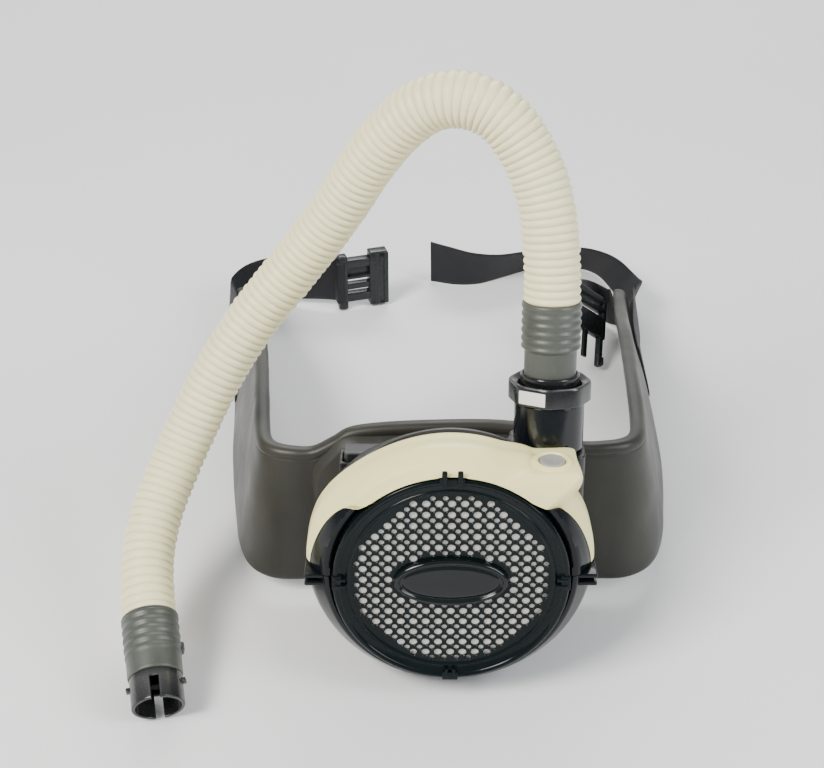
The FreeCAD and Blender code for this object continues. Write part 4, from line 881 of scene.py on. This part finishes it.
# prefilter: a felted disc, slightly uneven
verts, faces = [], []
nr, na = 46, 150
for q, y0 in ((0, 6.2), (1, 8.6)):
    for k in range(nr + 1):
        r = 74.0 * k / nr
        for i in range(na):
            a = 2 * math.pi * i / na
            x, z = r * math.cos(a), r * math.sin(a)
            rise = max(0.0, min(1.0, (66.0 - r) / 3.0)) * (1 - q)
            y = y0 - 1.15 * rise + (0.14 * noise.noise(Vector((x * 0.22, z * 0.22, q * 9.0)))
                                    + 0.08 * noise.noise(Vector((x, z, 4.0))))
            verts.append((x, z, y))
for q in (0, 1):
    off = q * (nr + 1) * na
    for k in range(nr):
        for i in range(na):
            j = (i + 1) % na
            f = (off + k * na + i, off + k * na + j, off + (k + 1) * na + j, off + (k + 1) * na + i)
            faces.append(f if q else f[::-1])
for i in range(na):
    j = (i + 1) % na
    faces.append((nr * na + i, nr * na + j, (nr + 1) * na + nr * na + j, (nr + 1) * na + nr * na + i))
pad_disc = weld(build("prefilter_felt", verts, faces, M["prefilter_fleece"], disc(), 0), 1e-6, 50)
stands_for(pad_disc, "filter", "prefilter_pad")

# ---------------------------------------------------------------------------
# Black front ring, with skirt, ears and clips
# ---------------------------------------------------------------------------
core = lathe("ring_core", soft_poly(
    [(77.0, 12.7), (79.8, 12.7), (79.9, 9.6), (80.8, 9.0), (86.6, 19.0), (87.0, 38.0), (84.4, 38.0),
     (84.2, 20.2), (80.8, 15.4), (80.1, 15.4), (80.1, 51.0), (77.6, 51.0)],
    [0.3, 0.5, 0.5, 0.6, 3.0, 0.3, 0.3, 2.0, 0.4, 0.4, 0.3, 0.3]), disc(), M["ring_black"], 240)
# laid out at angle -a from the frame's X, because this frame's Y points down
skirt = lathe("ring_skirt", soft_poly(
    [(80.2, 9.6), (81.6, 7.6), (84.8, 8.4), (95.0, 22.0), (98.0, 30.0), (98.0, 43.2), (93.0, 43.2), (93.0, 30.0),
     (90.8, 22.4)], [0.5, 0.6, 2.0, 5.0, 3.0, 0.8, 0.3, 2.0, 2.0]), disc(-90), M["ring_black"], 240, -90, 90)
ring_parts = [core, skirt]


def cone(r):
    """Depth of the sloped front surface at radius r."""
    return 7.9 + (r - 85.0) * 1.41 if r < 95.0 else 22.0 + (r - 95.0) * 2.667


EAR = [(-1.0, 95.0), (5.0, 94.4), (10.0, 93.5), (15.0, 92.6), (19.0, 91.9), (25.0, 90.7), (31.0, 89.1),
       (36.0, 87.2), (40.0, 85.3), (43.5, 83.2), (47.0, 81.4), (50.0, 80.4), (60.0, 80.4)]


def ear_edge(theta):
    t = theta if theta <= 90 else 180 - theta
    return float(np.interp(t, [e[0] for e in EAR], [e[1] for e in EAR]))


def ear(name, lo, hi):
    verts_, faces_ = [], []
    steps_ = 80
    for k in range(steps_ + 1):
        th = lo + (hi - lo) * k / steps_
        re = max(81.6, ear_edge(th))
        sec = [(79.9, 10.2), (79.9, 9.5), (80.3, 8.6), (80.8, 7.9)]
        for q in range(1, 6):
            r = 80.8 + max(0.1, re - 0.7 - 80.8) * q / 5.0
            sec.append((r, max(7.7, cone(max(r, 85.0)) - 0.35)))
        sec += [(re - 0.2, cone(max(re, 85.0)) + 0.1), (re, cone(max(re, 85.0)) + 0.9),
                (re - 0.1, cone(max(re, 85.0)) + 3.4), (80.4, 13.5)]
        a = math.radians(th)
        for r, y in sec:
            verts_.append((r * math.cos(a), y, AXIS_UP + r * math.sin(a)))
    m = len(sec)
    for k in range(steps_):
        for q in range(m):
            w_ = (q + 1) % m
            faces_.append((k * m + q, k * m + w_, (k + 1) * m + w_, (k + 1) * m + q))
    faces_.append(tuple(range(m)))
    faces_.append(tuple(steps_ * m + q for q in range(m))[::-1])
    return build(name, verts_, faces_, M["ring_black"], FRONT, 50)


ring_parts.append(ear("ear_right", 0.5, 47.5))
ring_parts.append(ear("ear_left", 132.5, 179.5))
for i, (a, low) in enumerate(((0, 1.0), (180, -1.0))):
    for j, dy in enumerate((1.4 * low - 1.5, 7.4 * low - 1.5)):
        ring_parts.append(block("clip%d%d" % (i, j), (84.0, dy, 10.0), (98.4, dy + 3.0, 30.0), disc(a),
                                M["ring_black"], 0.9))
ring = join("front_ring_black", ring_parts)
stands_for(ring, "root", "front_ring")

# ---------------------------------------------------------------------------
# Cream upper shell and black rear housing
# ---------------------------------------------------------------------------
def ease(t):
    t = max(0.0, min(1.0, t))
    return t * t * (3 - 2 * t)


def smax(a, b, k):
    return max(a, b) + math.log(1 + math.exp(-abs(a - b) / k)) * k


def shell_radius(y):
    if y < 3.0:
        return 81.6 + max(0.0, y + 0.6) * 0.5
    if y < 7.9:
        return 83.4 + (y - 3.0) * 0.32
    if y < 22.0:
        return 85.0 + (y - 7.9) / 1.41
    if y < 31.0:
        return 95.0 + 3.0 * math.sin(math.pi / 2 * (y - 22.0) / 9.0)
    return 98.0


verts, faces = [], []
nt, nk = 520, 40
th0, th1 = 1.2, 178.8
for i in range(nt + 1):
    th = th0 + (th1 - th0) * i / nt
    a = math.radians(th)
    swell = ease((th - 25.0) / 15.0) * ease((70.0 - th) / 14.0)
    lip = max(80.7, ear_edge(th) + 0.3)
    notch = ease((6.9 - abs(th - 90.0)) / 0.7)
    lip = max(lip, 80.7 + 0.5 * notch)
    fore = ease((88.0 - lip) / 5.0)
    y0 = (cone(lip) if lip > 85.0 else 8.4) * (1.0 - fore) - 0.6 * fore
    y0 = min(y0, max(8.4, cone(lip))) - 0.6 * swell * fore
    crown = 1.0 - 0.075 * ease((math.sin(a) - 0.35) / 0.65) * (1.0 - 0.6 * swell)
    box_r = -2.6 * math.log(math.exp(-84.6 / max(0.05, math.cos(a)) / 2.6)
                            + math.exp(-80.6 / max(0.05, math.sin(a)) / 2.6)) if 5 < th < 85 else 60.0
    outer = []
    for k in range(nk + 1):
        y = y0 + (44.4 - y0) * (k / nk) ** 1.7
        r = max(shell_radius(y), lip)
        if swell > 0:
            u = max(0.0, min(1.0, (y - (y0 - 0.1)) / 7.5))
            rb = 84.2 + (box_r - 84.2) * math.sqrt(1 - (1 - u) ** 2)
            r = r + swell * (smax(r, rb, 0.9) - r - 0.05)
        if k == 0:
            r = lip
        elif k == 1:
            r = lip + 0.75 * (r - lip)
        r = max(lip, r * (1.0 - (1.0 - crown) * ease((y - 10.0) / 26.0)))
        outer.append((r, y))
    outer[0] = (lip, y0 + 0.7)
    outer.insert(1, (lip + 0.12, y0 + 0.25))
    outer[-1] = (outer[-1][0] - 1.2, 44.6)
    inner = [(max(lip, r - 2.6), min(y + 1.6, 44.6)) for r, y in outer[::-1]]
    loop_pts = outer + inner
    for r, y in loop_pts:
        verts.append((r * math.cos(a), y, AXIS_UP + r * math.sin(a)))
m = len(loop_pts)
for i in range(nt):
    for k in range(m):
        q = (k + 1) % m
        faces.append((i * m + k, i * m + q, (i + 1) * m + q, (i + 1) * m + k))
faces.append(tuple(range(m)))
faces.append(tuple(nt * m + k for k in range(m))[::-1])
shell_body = build("shell_body", verts, faces, M["shell_cream"], FRONT, 60)
# ridge round the button, standing a little above the boss
surround = lathe("button_rim", soft_poly(
    [(8.9, 171.5), (8.9, 174.6), (9.9, 176.1), (11.4, 176.2), (14.0, 174.2), (14.0, 171.5)],
    [0.1, 0.5, 0.7, 1.0, 0.8, 0.1]), FRONT @ Matrix.Translation((65.5, 21.0, 4.4)), M["shell_cream"], 128, sharp=0)
shell = join("upper_shell_cream", [shell_body, surround])
stands_for(shell, "root", "upper_shell")
rear = moulded("rear_housing_black", "rear_housing", M["housing_black"], 1.2, 6)
turn_back = D.inverted()
for v in rear.data.vertices:
    p = turn_back @ (rear.matrix_world @ v.co)
    up = p.z - AXIS_UP
    radius = math.hypot(p.x, up)
    if up > 0 and radius > 60.0:
        p.z -= 0.135 * up * ease((up / radius - 0.35) / 0.65) * ease((radius - 60.0) / 25.0)
        v.co = rear.matrix_world.inverted() @ (D @ p)
stands_for(rear, "root", "rear_housing")

button = lathe("button_cap", soft_poly(
    [(0.0, 170.0), (9.7, 170.0), (9.7, 171.0), (8.4, 171.0), (8.4, 175.2), (7.4, 175.9), (4.5, 175.5),
     (0.0, 175.4)], [0, 0.2, 0.2, 0.2, 0.9, 0.8, 2.0, 0], closed=False),
    FRONT @ Matrix.Translation((65.5, 21.0, 4.4)), M["button_grey"], 96)
stands_for(button, "button", "power_button")

# ---------------------------------------------------------------------------
# Outlet port, collar, label, connector
# ---------------------------------------------------------------------------
port = lathe("outlet_port_tube", soft_poly(
    [(21.2, -6.0), (23.7, -6.0), (23.7, 25.4), (23.2, 26.2), (23.2, 36.0), (21.2, 36.0)],
    [0, 0, 0.5, 0.2, 0.3, 0.3]), PORT, M["port_black"], 192)
stands_for(port, "root", "outlet_port")


def octagon(apothem, corner):
    """Distance from the middle to the edge of an octagon with soft corners."""
    def r(a):
        t = (a - math.radians(45.0) * round(a / math.radians(45.0)))
        flat = apothem / math.cos(t)
        return -math.log(math.exp(-flat * 2.2) + math.exp(-corner * 2.2)) / 2.2
    return r


def circle(r):
    return lambda a: r


corner = 29.0
TURN = math.radians(14.5)
COLLAR = PORT @ Matrix.Rotation(TURN, 4, "Z") @ Matrix.Diagonal((0.965, 0.965, 1.0, 1.0))
loops = [(circle(24.75), 27.3), (octagon(27.0, corner - 0.6), 27.0), (octagon(27.5, corner - 0.1), 27.4),
         (octagon(27.65, corner), 28.2), (octagon(27.65, corner), 38.8), (octagon(27.5, corner - 0.2), 39.8),
         (octagon(27.0, corner - 0.7), 40.5), (octagon(26.2, corner - 1.6), 40.7), (circle(24.6), 40.0),
         (circle(23.2), 39.1), (circle(22.4), 38.6), (circle(22.0), 38.0), (circle(21.9), 36.4),
         (circle(24.75), 36.4)]
collar = polar("collar_octagon", loops, COLLAR, M["collar_black"], 240, 32)
stands_for(collar, "collar", "locking_collar")
# rounded blank label on the flat that faces front-left
label_place = COLLAR @ Matrix.Rotation(math.radians(225), 4, "Z")
outline = soft_poly([(-9.9, 29.0), (9.9, 29.0), (9.9, 38.0), (-9.9, 38.0)], 0.7, 4)
verts, faces = [], []
for dx in (27.68, 28.0):
    for y, z in outline:
        verts.append((dx, y, z))
n = len(outline)
for i in range(n):
    j = (i + 1) % n
    faces.append((i, j, n + j, n + i))
faces.append(tuple(range(n))[::-1])
faces.append(tuple(range(n, 2 * n)))
label = build("blank_label", verts, faces, M["label_white"], label_place, 30)
stands_for(label, "collar", "collar_label")

connector = lathe("hose_connector_black", soft_poly(
    [(17.0, 14.0), (20.9, 14.0), (20.9, 36.0), (19.9, 37.4), (19.9, 44.4), (19.2, 45.2), (18.4, 45.2),
     (18.1, 44.6), (18.1, 37.9), (15.3, 37.9), (15.3, 60.0), (13.4, 60.0), (13.4, 40.0), (17.0, 36.0)],
    [0.3, 0.5, 0.5, 0.6, 0.5, 0.3, 0.3, 0.2, 0.2, 0.2, 0.3, 0.3, 0.5, 0.5]), PORT,
    M["connector_black"], 144)
stands_for(connector, "root", "hose_connector")

# ---------------------------------------------------------------------------
# Battery, cradle, latch
# ---------------------------------------------------------------------------
battery = moulded("battery_case", "battery_pack", M["battery_cream"], 0.6, 2)
stands_for(battery, "battery", "battery_pack")
cradle = moulded("battery_cradle_black", "battery_cradle", M["housing_black"], 1.0, 5)
stands_for(cradle, "root", "battery_cradle")
latch = bevelled("latch_button", "battery_latch", M["latch_black"], 0.8, 3)
stands_for(latch, "latch", "battery_latch")

# ---------------------------------------------------------------------------
# Belt pad
# ---------------------------------------------------------------------------
# x, y of the inner face at its top edge, flare of the lower edge, top, bottom
STATIONS = [
    (-183.0, 490.0, 9.0, 102.0, 60.5), (-171.0, 445.0, 13.0, 109.0, 55.5),
    (-160.0, 395.0, 17.0, 117.0, 49.5), (-151.0, 340.0, 21.0, 125.0, 42.5),
    (-144.5, 290.0, 24.0, 130.0, 36.5), (-139.0, 240.0, 24.0, 133.0, 31.0),
    (-134.5, 195.0, 22.0, 134.0, 27.5), (-131.5, 160.0, 19.0, 134.0, 25.5),
    (-128.5, 138.0, 15.0, 134.0, 25.0), (-123.0, 127.5, 11.0, 134.0, 25.0),
    (-112.0, 123.0, 7.0, 134.0, 25.0), (-98.0, 122.0, 4.0, 134.5, 25.0),
    (-84.0, 122.0, 3.0, 142.0, 25.0), (-68.0, 122.0, 3.0, 151.0, 25.0),
    (-30.0, 122.0, 3.0, 155.0, 25.0), (30.0, 122.0, 3.0, 156.0, 25.0),
    (66.0, 122.0, 3.0, 151.0, 25.0), (82.0, 122.0, 3.0, 142.0, 25.0),
    (98.0, 122.3, 4.0, 138.0, 25.0), (114.0, 124.0, 7.0, 137.5, 25.0),
    (127.0, 129.0, 12.0, 137.0, 25.0), (134.0, 141.0, 17.0, 136.0, 25.0),
    (137.5, 165.0, 22.0, 134.0, 25.5), (140.5, 200.0, 25.0, 134.0, 27.5),
    (144.0, 250.0, 28.0, 133.0, 31.5), (147.5, 300.0, 27.0, 129.0, 37.5),
    (151.0, 350.0, 24.0, 123.0, 43.5), (155.0, 400.0, 20.0, 115.0, 50.0),
    (160.0, 445.0, 15.0, 108.0, 56.0), (165.0, 485.0, 11.0, 102.0, 60.5)]
THICK = 12.0
PER = 10
dense = spline(STATIONS, PER)
grad = np.gradient(dense[:, :2], axis=0)
grad /= np.linalg.norm(grad, axis=1)[:, None]
out_dir = np.stack([grad[:, 1], -grad[:, 0]], axis=1)


def band(i, depth, z):
    """Point at dense station i, depth out from the inner face, at height z (design frame)."""
    x, y, flare, zt, zb = dense[i]
    f = flare * (zt - z) / (zt - zb)
    return Vector((x + out_dir[i][0] * (depth + f), y + out_dir[i][1] * (depth + f), z))


def pad_section(zt, zb):
    """Closed loop of (depth, height): sides, soft rim along the top, rounded foot."""
    h = zt - zb
    pts = [(6.0, zb), (3.2, zb + 0.2), (1.2, zb + 1.4), (0.3, zb + 4.0)]
    for k in range(1, 12):
        u = k / 12.0
        pts.append((0.25 - 0.5 * math.sin(math.pi * u), zb + 4.0 + (h - 20.0) * u))
    pts += [(0.1, zt - 12.0), (0.1, zt - 8.6), (0.6, zt - 8.0), (0.6, zt - 7.5), (-0.1, zt - 6.9),
            (-0.2, zt - 5.6), (-0.1, zt - 4.2), (0.3, zt - 2.8), (1.2, zt - 1.4), (2.6, zt - 0.5),
            (4.6, zt), (7.4, zt), (9.4, zt - 0.5), (10.8, zt - 1.4), (11.7, zt - 2.8),
            (12.1, zt - 4.2), (12.2, zt - 5.6), (12.1, zt - 6.9), (11.4, zt - 7.5), (11.4, zt - 8.0),
            (11.9, zt - 8.6), (12.0, zt - 12.0)]
    for k in range(11, 0, -1):
        u = k / 12.0
        pts.append((12.0 + 1.3 * math.sin(math.pi * u), zb + 4.0 + (h - 20.0) * u))
    pts += [(11.8, zb + 4.0), (10.9, zb + 1.4), (8.8, zb + 0.2)]
    return pts


verts, faces = [], []
count = len(dense)
section_n = None
rows = 0
for i in range(count):
    zt, zb = dense[i][3], dense[i][4]
    sec = pad_section(zt, zb)
    section_n = len(sec)
    # the two ends round off over their last few millimetres
    for d, z in sec:
        p = band(i, d, z)
        n1 = 0.9 * noise.noise(Vector((p.x, p.y, p.z)) * 0.011) + 0.35 * noise.noise(Vector((p.x, p.y, p.z)) * 0.04)
        amount = n1 if 2.0 < z - zb else 0.0
        p = p + Vector((out_dir[i][0], out_dir[i][1], 0)) * amount * 0.8
        verts.append(p)
    rows += 1


def end_cap(i, outward):
    """Rows that close one end of the band with a rounded nose."""
    global rows
    zt, zb = dense[i][3], dense[i][4]
    sec = pad_section(zt, zb)
    c = (6.0, (zt + zb) / 2)
    tip = Vector((grad[i][0], grad[i][1], 0)) * outward
    new = []
    for k in range(1, 7):
        t = math.pi / 2 * k / 6.0
        s = math.cos(t)
        row = []
        for d, z in sec:
            dd = c[0] + math.copysign(max(0.0, abs(d - c[0]) - 5.0 * (1 - s)), d - c[0])
            zz = c[1] + math.copysign(max(0.0, abs(z - c[1]) - 5.0 * (1 - s)), z - c[1])
            p = band(i, dd, zz) + tip * 4.5 * math.sin(t)
            row.append(len(verts))
            verts.append(p)
        new.append(row)
    return new


def skin(a, b, flip=False):
    for k in range(section_n):
        m = (k + 1) % section_n
        f = (a[k], a[m], b[m], b[k])
        faces.append(f[::-1] if flip else f)


body_rows = [list(range(r * section_n, (r + 1) * section_n)) for r in range(rows)]
for r in range(rows - 1):
    skin(body_rows[r], body_rows[r + 1])
for i, sign, first in ((0, -1.0, body_rows[0]), (count - 1, 1.0, body_rows[-1])):
    prev = first
    for row in end_cap(i, sign):
        skin(prev, row, sign < 0)
        prev = row
    faces.append(tuple(prev) if sign > 0 else tuple(prev)[::-1])
pad = build("belt_band", verts, faces, M["belt_foam"], D, 0)
mod = pad.modifiers.new("sub", "SUBSURF")
mod.levels = mod.render_levels = 1
applied(pad)
for p in pad.data.polygons:
    p.use_smooth = True

# raised panel between the blower and the band, with its bevelled outline
front_o = soft_poly([(-94, 50), (94, 50), (94, 116), (70, 142.5), (-72, 142.5), (-94, 118)], 9.0, 6)
back_o = soft_poly([(-101, 44), (101, 44), (101, 119), (74, 147.5), (-76, 147.5), (-101, 121)], 11.0, 6)
verts, faces = [], []
levels = [(0.0, 112.0), (0.12, 110.4), (0.5, 107.4), (0.86, 105.0), (1.0, 104.4), (1.06, 104.2)]
for t, y in levels:
    for (x0, z0), (x1, z1) in zip(back_o, front_o):
        verts.append((x0 + (x1 - x0) * t, y, z0 + (z1 - z0) * t))
n = len(front_o)
for k in range(len(levels) - 1):
    for i in range(n):
        j = (i + 1) % n
        faces.append((k * n + i, k * n + j, (k + 1) * n + j, (k + 1) * n + i))
faces.append(tuple((len(levels) - 1) * n + i for i in range(n)))
faces.append(tuple(range(n))[::-1])
panel = build("belt_panel", verts, faces, M["belt_foam"], D, 60)
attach(panel, "root")
stands_for(pad, "root", "belt_pad")

# ---------------------------------------------------------------------------
# Webbing
# ---------------------------------------------------------------------------
BACK = LEAN.inverted()


def rest(x, y, z):
    """A point above the surface the object lies on, in the design frame."""
    return BACK @ Vector((x + SHIFT.x, y + SHIFT.y, z))


def arm(i, lo, hi):
    k = i * PER
    d = THICK + 1.6
    return band(k, d, lo), band(k, d, hi)


def strap(name, pairs, thick=1.8, per=10, cup=0.5):
    """Webbing through pairs of lower and upper edge points, with rounded selvedges."""
    rows_ = spline([[*lo, *hi] for lo, hi in pairs], per)
    lo, hi = rows_[:, :3], rows_[:, 3:]
    mid = (lo + hi) / 2
    along = np.gradient(mid, axis=0)
    along /= np.linalg.norm(along, axis=1)[:, None]
    length = np.concatenate([[0], np.cumsum(np.linalg.norm(np.diff(mid, axis=0), axis=1))])
    across = 14
    verts_, faces_, uvs = [], [], []
    prof = []
    for k in range(across + 1):
        prof.append((k / across, -0.5))
    prof.append((1.012, 0.0))
    for k in range(across, -1, -1):
        prof.append((k / across, 0.5))
    prof.append((-0.012, 0.0))
    m = len(prof)
    for r in range(len(rows_)):
        up = hi[r] - lo[r]
        width = np.linalg.norm(up)
        nrm = np.cross(along[r], up)
        nrm /= np.linalg.norm(nrm)
        for t, q in prof:
            edge = min(1.0, min(max(t, 0.0), max(1 - t, 0.0)) * 9.0 + 0.62)
            off = q * thick * edge + cup * (4 * t * (1 - t) - 0.5) * math.sin(length[r] * 0.021)
            off += 0.35 * math.sin(length[r] * 0.05 + 2.0 * t)
            p = lo[r] + up * t + nrm * off
            verts_.append(Vector(p))
            uvs.append((length[r] * 0.001, t * width * 0.001))
    for r in range(len(rows_) - 1):
        for k in range(m):
            q = (k + 1) % m
            faces_.append((r * m + k, r * m + q, (r + 1) * m + q, (r + 1) * m + k))
    faces_.append(tuple(range(m))[::-1])
    faces_.append(tuple((len(rows_) - 1) * m + k for k in range(m)))
    return build(name, verts_, faces_, M["webbing_black"], D, 60, uv=uvs)


left_pairs = [arm(3, 58.0, 104.8), arm(2, 57.5, 104.3), arm(1, 57.0, 103.8), arm(0, 56.5, 103.3)]
for lo, hi in (((-202.5, 522.3, 1.2), (-199.6, 514.0, 47.0)),
               ((-193.0, 543.0, 1.2), (-189.5, 537.5, 47.3)),
               ((-176.7, 551.4, 2.5), (-171.5, 548.6, 49.2)),
               ((-156.3, 549.1, 5.0), (-152.8, 548.0, 51.8)),
               ((-137.0, 543.9, 7.4), (-134.3, 543.2, 54.2)),
               ((-115.5, 540.0, 9.3), (-113.8, 539.5, 56.2)),
               ((-94.4, 535.7, 9.8), (-94.2, 535.7, 56.8))):
    left_pairs.append((rest(*lo), rest(*hi)))
left = strap("webbing_left", left_pairs)
stands_for(left, "root", "left_webbing")

right_pairs = []
for k, lo_z, hi_z, off_lo, off_hi in ((26, 58.0, 104.8, 0.0, 0.6), (27, 57.5, 104.3, 0.3, 2.6),
                                      (28, 57.0, 103.8, 1.0, 5.0), (29, 56.5, 103.3, 2.0, 6.5)):
    right_pairs.append((band(k * PER, THICK + 1.6 + off_lo, lo_z), band(k * PER, THICK + 1.6 + off_hi, hi_z)))
for lo, hi in (((182.0, 509.0, 3.0), (189.0, 499.0, 46.5)),
               ((186.5, 528.0, 1.4), (196.8, 515.0, 42.5)),
               ((181.5, 550.0, 1.2), (195.3, 530.0, 38.0)),
               ((175.2, 575.3, 1.2), (191.0, 548.5, 35.0)),
               ((169.1, 593.8, 1.2), (180.8, 566.4, 37.2)),
               ((161.2, 606.4, 1.2), (166.5, 579.3, 39.0)),
               ((147.5, 614.8, 1.2), (145.6, 588.5, 39.6)),
               ((120.6, 617.5, 1.2), (115.9, 589.4, 38.6)),
               ((92.5, 612.0, 1.2), (88.0, 584.0, 38.2)),
               ((66.6, 598.0, 1.2), (60.5, 573.0, 40.3)),
               ((42.2, 584.5, 1.2), (35.0, 568.5, 44.8)),
               ((18.8, 582.5, 1.2), (12.6, 576.5, 47.2)),
               ((-6.5, 590.0, 1.2), (-6.9, 586.8, 47.8))):
    right_pairs.append((rest(*lo), rest(*hi)))
right = strap("webbing_right", right_pairs)
stands_for(right, "root", "right_webbing")

male_z = Vector((-0.66, -0.35, 0.63)).normalized()
male_x = Vector((-0.10, -0.82, -0.56))
male_x = (male_x - male_z * male_x.dot(male_z)).normalized()
MB_MM = axes((160.0, 166.0, 42.0), male_x, male_z)
MB = Matrix.Scale(0.001, 4) @ MB_MM


def shifted(x, y, z):
    """A point in the resting frame, millimetres, in the design frame."""
    return BACK @ Vector((x, y, z))


loop_pairs = [(band(i * PER, -1.6, 62.0), band(i * PER, -1.6, 100.0)) for i in (28, 29)]
loop_pairs += [(shifted(167.5, 193.0, 4.0), shifted(164.5, 191.0, 43.0)),
               (shifted(160.5, 198.5, 8.0), shifted(153.0, 193.5, 48.0)),
               (shifted(157.8, 184.0, 27.0), shifted(137.0, 174.0, 63.0)),
               (BACK @ (MB_MM @ Vector((1.6, 0, 6.5))), BACK @ (MB_MM @ Vector((1.6, 0, 49.5))))]
loop = strap("adjuster_webbing", loop_pairs, cup=0.2)
stands_for(loop, "root", "adjuster_strap")

FB = (Matrix.Scale(0.001, 4) @ Matrix.Translation((-98.9 + SHIFT.x, 534.2 + SHIFT.y, 1.2))
      @ Matrix.Rotation(math.radians(17.0), 4, "Z"))
bits = [((0, -5.0, 0), (9.5, 5.0, 59.0), 1.8), ((8.0, -5.0, 45.5), (33.0, 5.0, 54.0), 1.4),
        ((8.0, -5.0, 8.0), (33.0, 5.0, 16.5), 1.4), ((8.0, -4.2, 21.6), (33.0, 4.2, 27.4), 0.9),
        ((8.0, -1.4, 34.5), (33.0, 3.0, 46.5), 0.5), ((8.0, -4.8, 33.2), (33.0, 4.8, 36.0), 0.7),
        ((31.5, -6.0, 1.8), (50.0, -3.9, 59.5), 0.8), ((31.5, 3.9, 1.8), (50.0, 6.0, 59.5), 0.8),
        ((31.5, -6.0, 53.2), (50.0, 6.0, 60.0), 1.6), ((31.5, -6.0, 1.2), (50.0, 6.0, 7.0), 1.6),
        ((31.5, -4.5, 3.0), (34.0, 4.5, 58.0), 0.6),
        ((36.6, -7.0, 3.0), (41.2, -5.0, 58.4), 1.0), ((45.4, -7.3, 2.2), (50.2, -5.0, 59.4), 1.1)]
female = join("buckle_female", [block("fb%d" % k, lo, hi, FB, M["buckle_black"], r)
                                for k, (lo, hi, r) in enumerate(bits)])
turn_web = block("webbing_turn", (-2.2, -6.3, 7.0), (6.4, 6.3, 53.6), FB, M["webbing_black"], 2.6, 4)
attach(turn_web, "root")
stands_for(female, "root", "female_buckle")
bits = [((0, -3.2, 1.0), (4.2, 3.2, 55.0), 1.4), ((8.8, -3.6, 1.0), (14.2, 3.6, 55.0), 1.5),
        ((18.4, -3.4, 1.0), (40.0, 3.4, 55.0), 1.4), ((0.5, -3.4, 0.8), (40.0, 3.4, 6.4), 1.4),
        ((0.5, -3.4, 49.6), (40.0, 3.4, 55.2), 1.4), ((38.0, -3.0, 3.0), (68.0, 3.0, 9.0), 1.5),
        ((38.0, -3.0, 47.0), (68.0, 3.0, 53.0), 1.5), ((38.0, -1.5, 25.0), (66.0, 1.5, 31.0), 0.7),
        ((57.5, -3.0, 0.6), (66.0, 3.0, 5.0), 1.2), ((57.5, -3.0, 51.0), (66.0, 3.0, 55.4), 1.2)]
bits += [((21.0 + 4.2 * k, -4.3, 10.0), (23.0 + 4.2 * k, -3.0, 46.0), 0.5) for k in range(4)]
male = join("buckle_male", [block("mb%d" % k, lo, hi, MB, M["buckle_black"], r)
                            for k, (lo, hi, r) in enumerate(bits)])
bar_web = block("webbing_bar", (-1.8, -4.4, 7.0), (5.6, 4.4, 49.0), MB, M["webbing_black"], 2.2, 4)
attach(bar_web, "root")
stands_for(male, "root", "male_buckle")

# ---------------------------------------------------------------------------
# Floor and light
# ---------------------------------------------------------------------------
floor_mat = Nodes("floor_paper")
tone = floor_mat.ramp(floor_mat.noise(2.0, 3.0), 0.3, 0.7, 0.78, 0.82)
comb = floor_mat.new("ShaderNodeCombineColor")
for k in range(3):
    floor_mat.link(tone, comb.inputs[k])
floor_mat.finish(**{"Base Color": comb.outputs[0], "Roughness": 0.75})
me = bpy.data.meshes.new("floor")
w = 30.0
fv, ff = [], []
for i in range(25):
    t = i / 24.0
    if t < 0.5:
        y, z = -30.0 + t * 2 * 32.5, 0.0
    else:
        a = (t - 0.5) * math.pi
        y, z = 2.5 + 1.5 * math.sin(a), 1.5 * (1 - math.cos(a))
    fv += [(-w, y, z), (w, y, z)]
fv += [(-w, 4.0, 5.0), (w, 4.0, 5.0)]
for i in range(25):
    ff.append((2 * i, 2 * i + 1, 2 * i + 3, 2 * i + 2))
me.from_pydata(fv, [], ff)
for p in me.polygons:
    p.use_smooth = True
me.materials.append(floor_mat.mat)
floor = bpy.data.objects.new("floor", me)
scene.collection.objects.link(floor)

world = bpy.data.worlds.new("studio")
scene.world = world
world.use_nodes = True
world.node_tree.nodes["Background"].inputs[0].default_value = (0.95, 0.97, 1.0, 1.0)
world.node_tree.nodes["Background"].inputs[1].default_value = 0.5


def light(name, at, to, size, power, colour=(1, 1, 1), size_y=None):
    data = bpy.data.lights.new(name, "AREA")
    data.energy = power
    data.color = colour
    data.shape = "RECTANGLE"
    data.size = size
    data.size_y = size_y or size
    ob = bpy.data.objects.new(name, data)
    scene.collection.objects.link(ob)
    ob.location = at
    ob.rotation_euler = (Vector(to) - Vector(at)).to_track_quat("-Z", "Y").to_euler()
    return ob


light("key", (-1.5, -1.45, 2.1), (0, 0, 0.05), 1.0, 112.0, (1.0, 0.98, 0.95))
light("fill", (1.9, -1.1, 1.5), (0, 0, 0.05), 0.9, 50.0, (0.96, 0.98, 1.0), 1.6)
light("back", (0.1, 2.3, 2.0), (0, 0, 0.1), 2.2, 52.0, (1.0, 1.0, 1.0), 0.9)
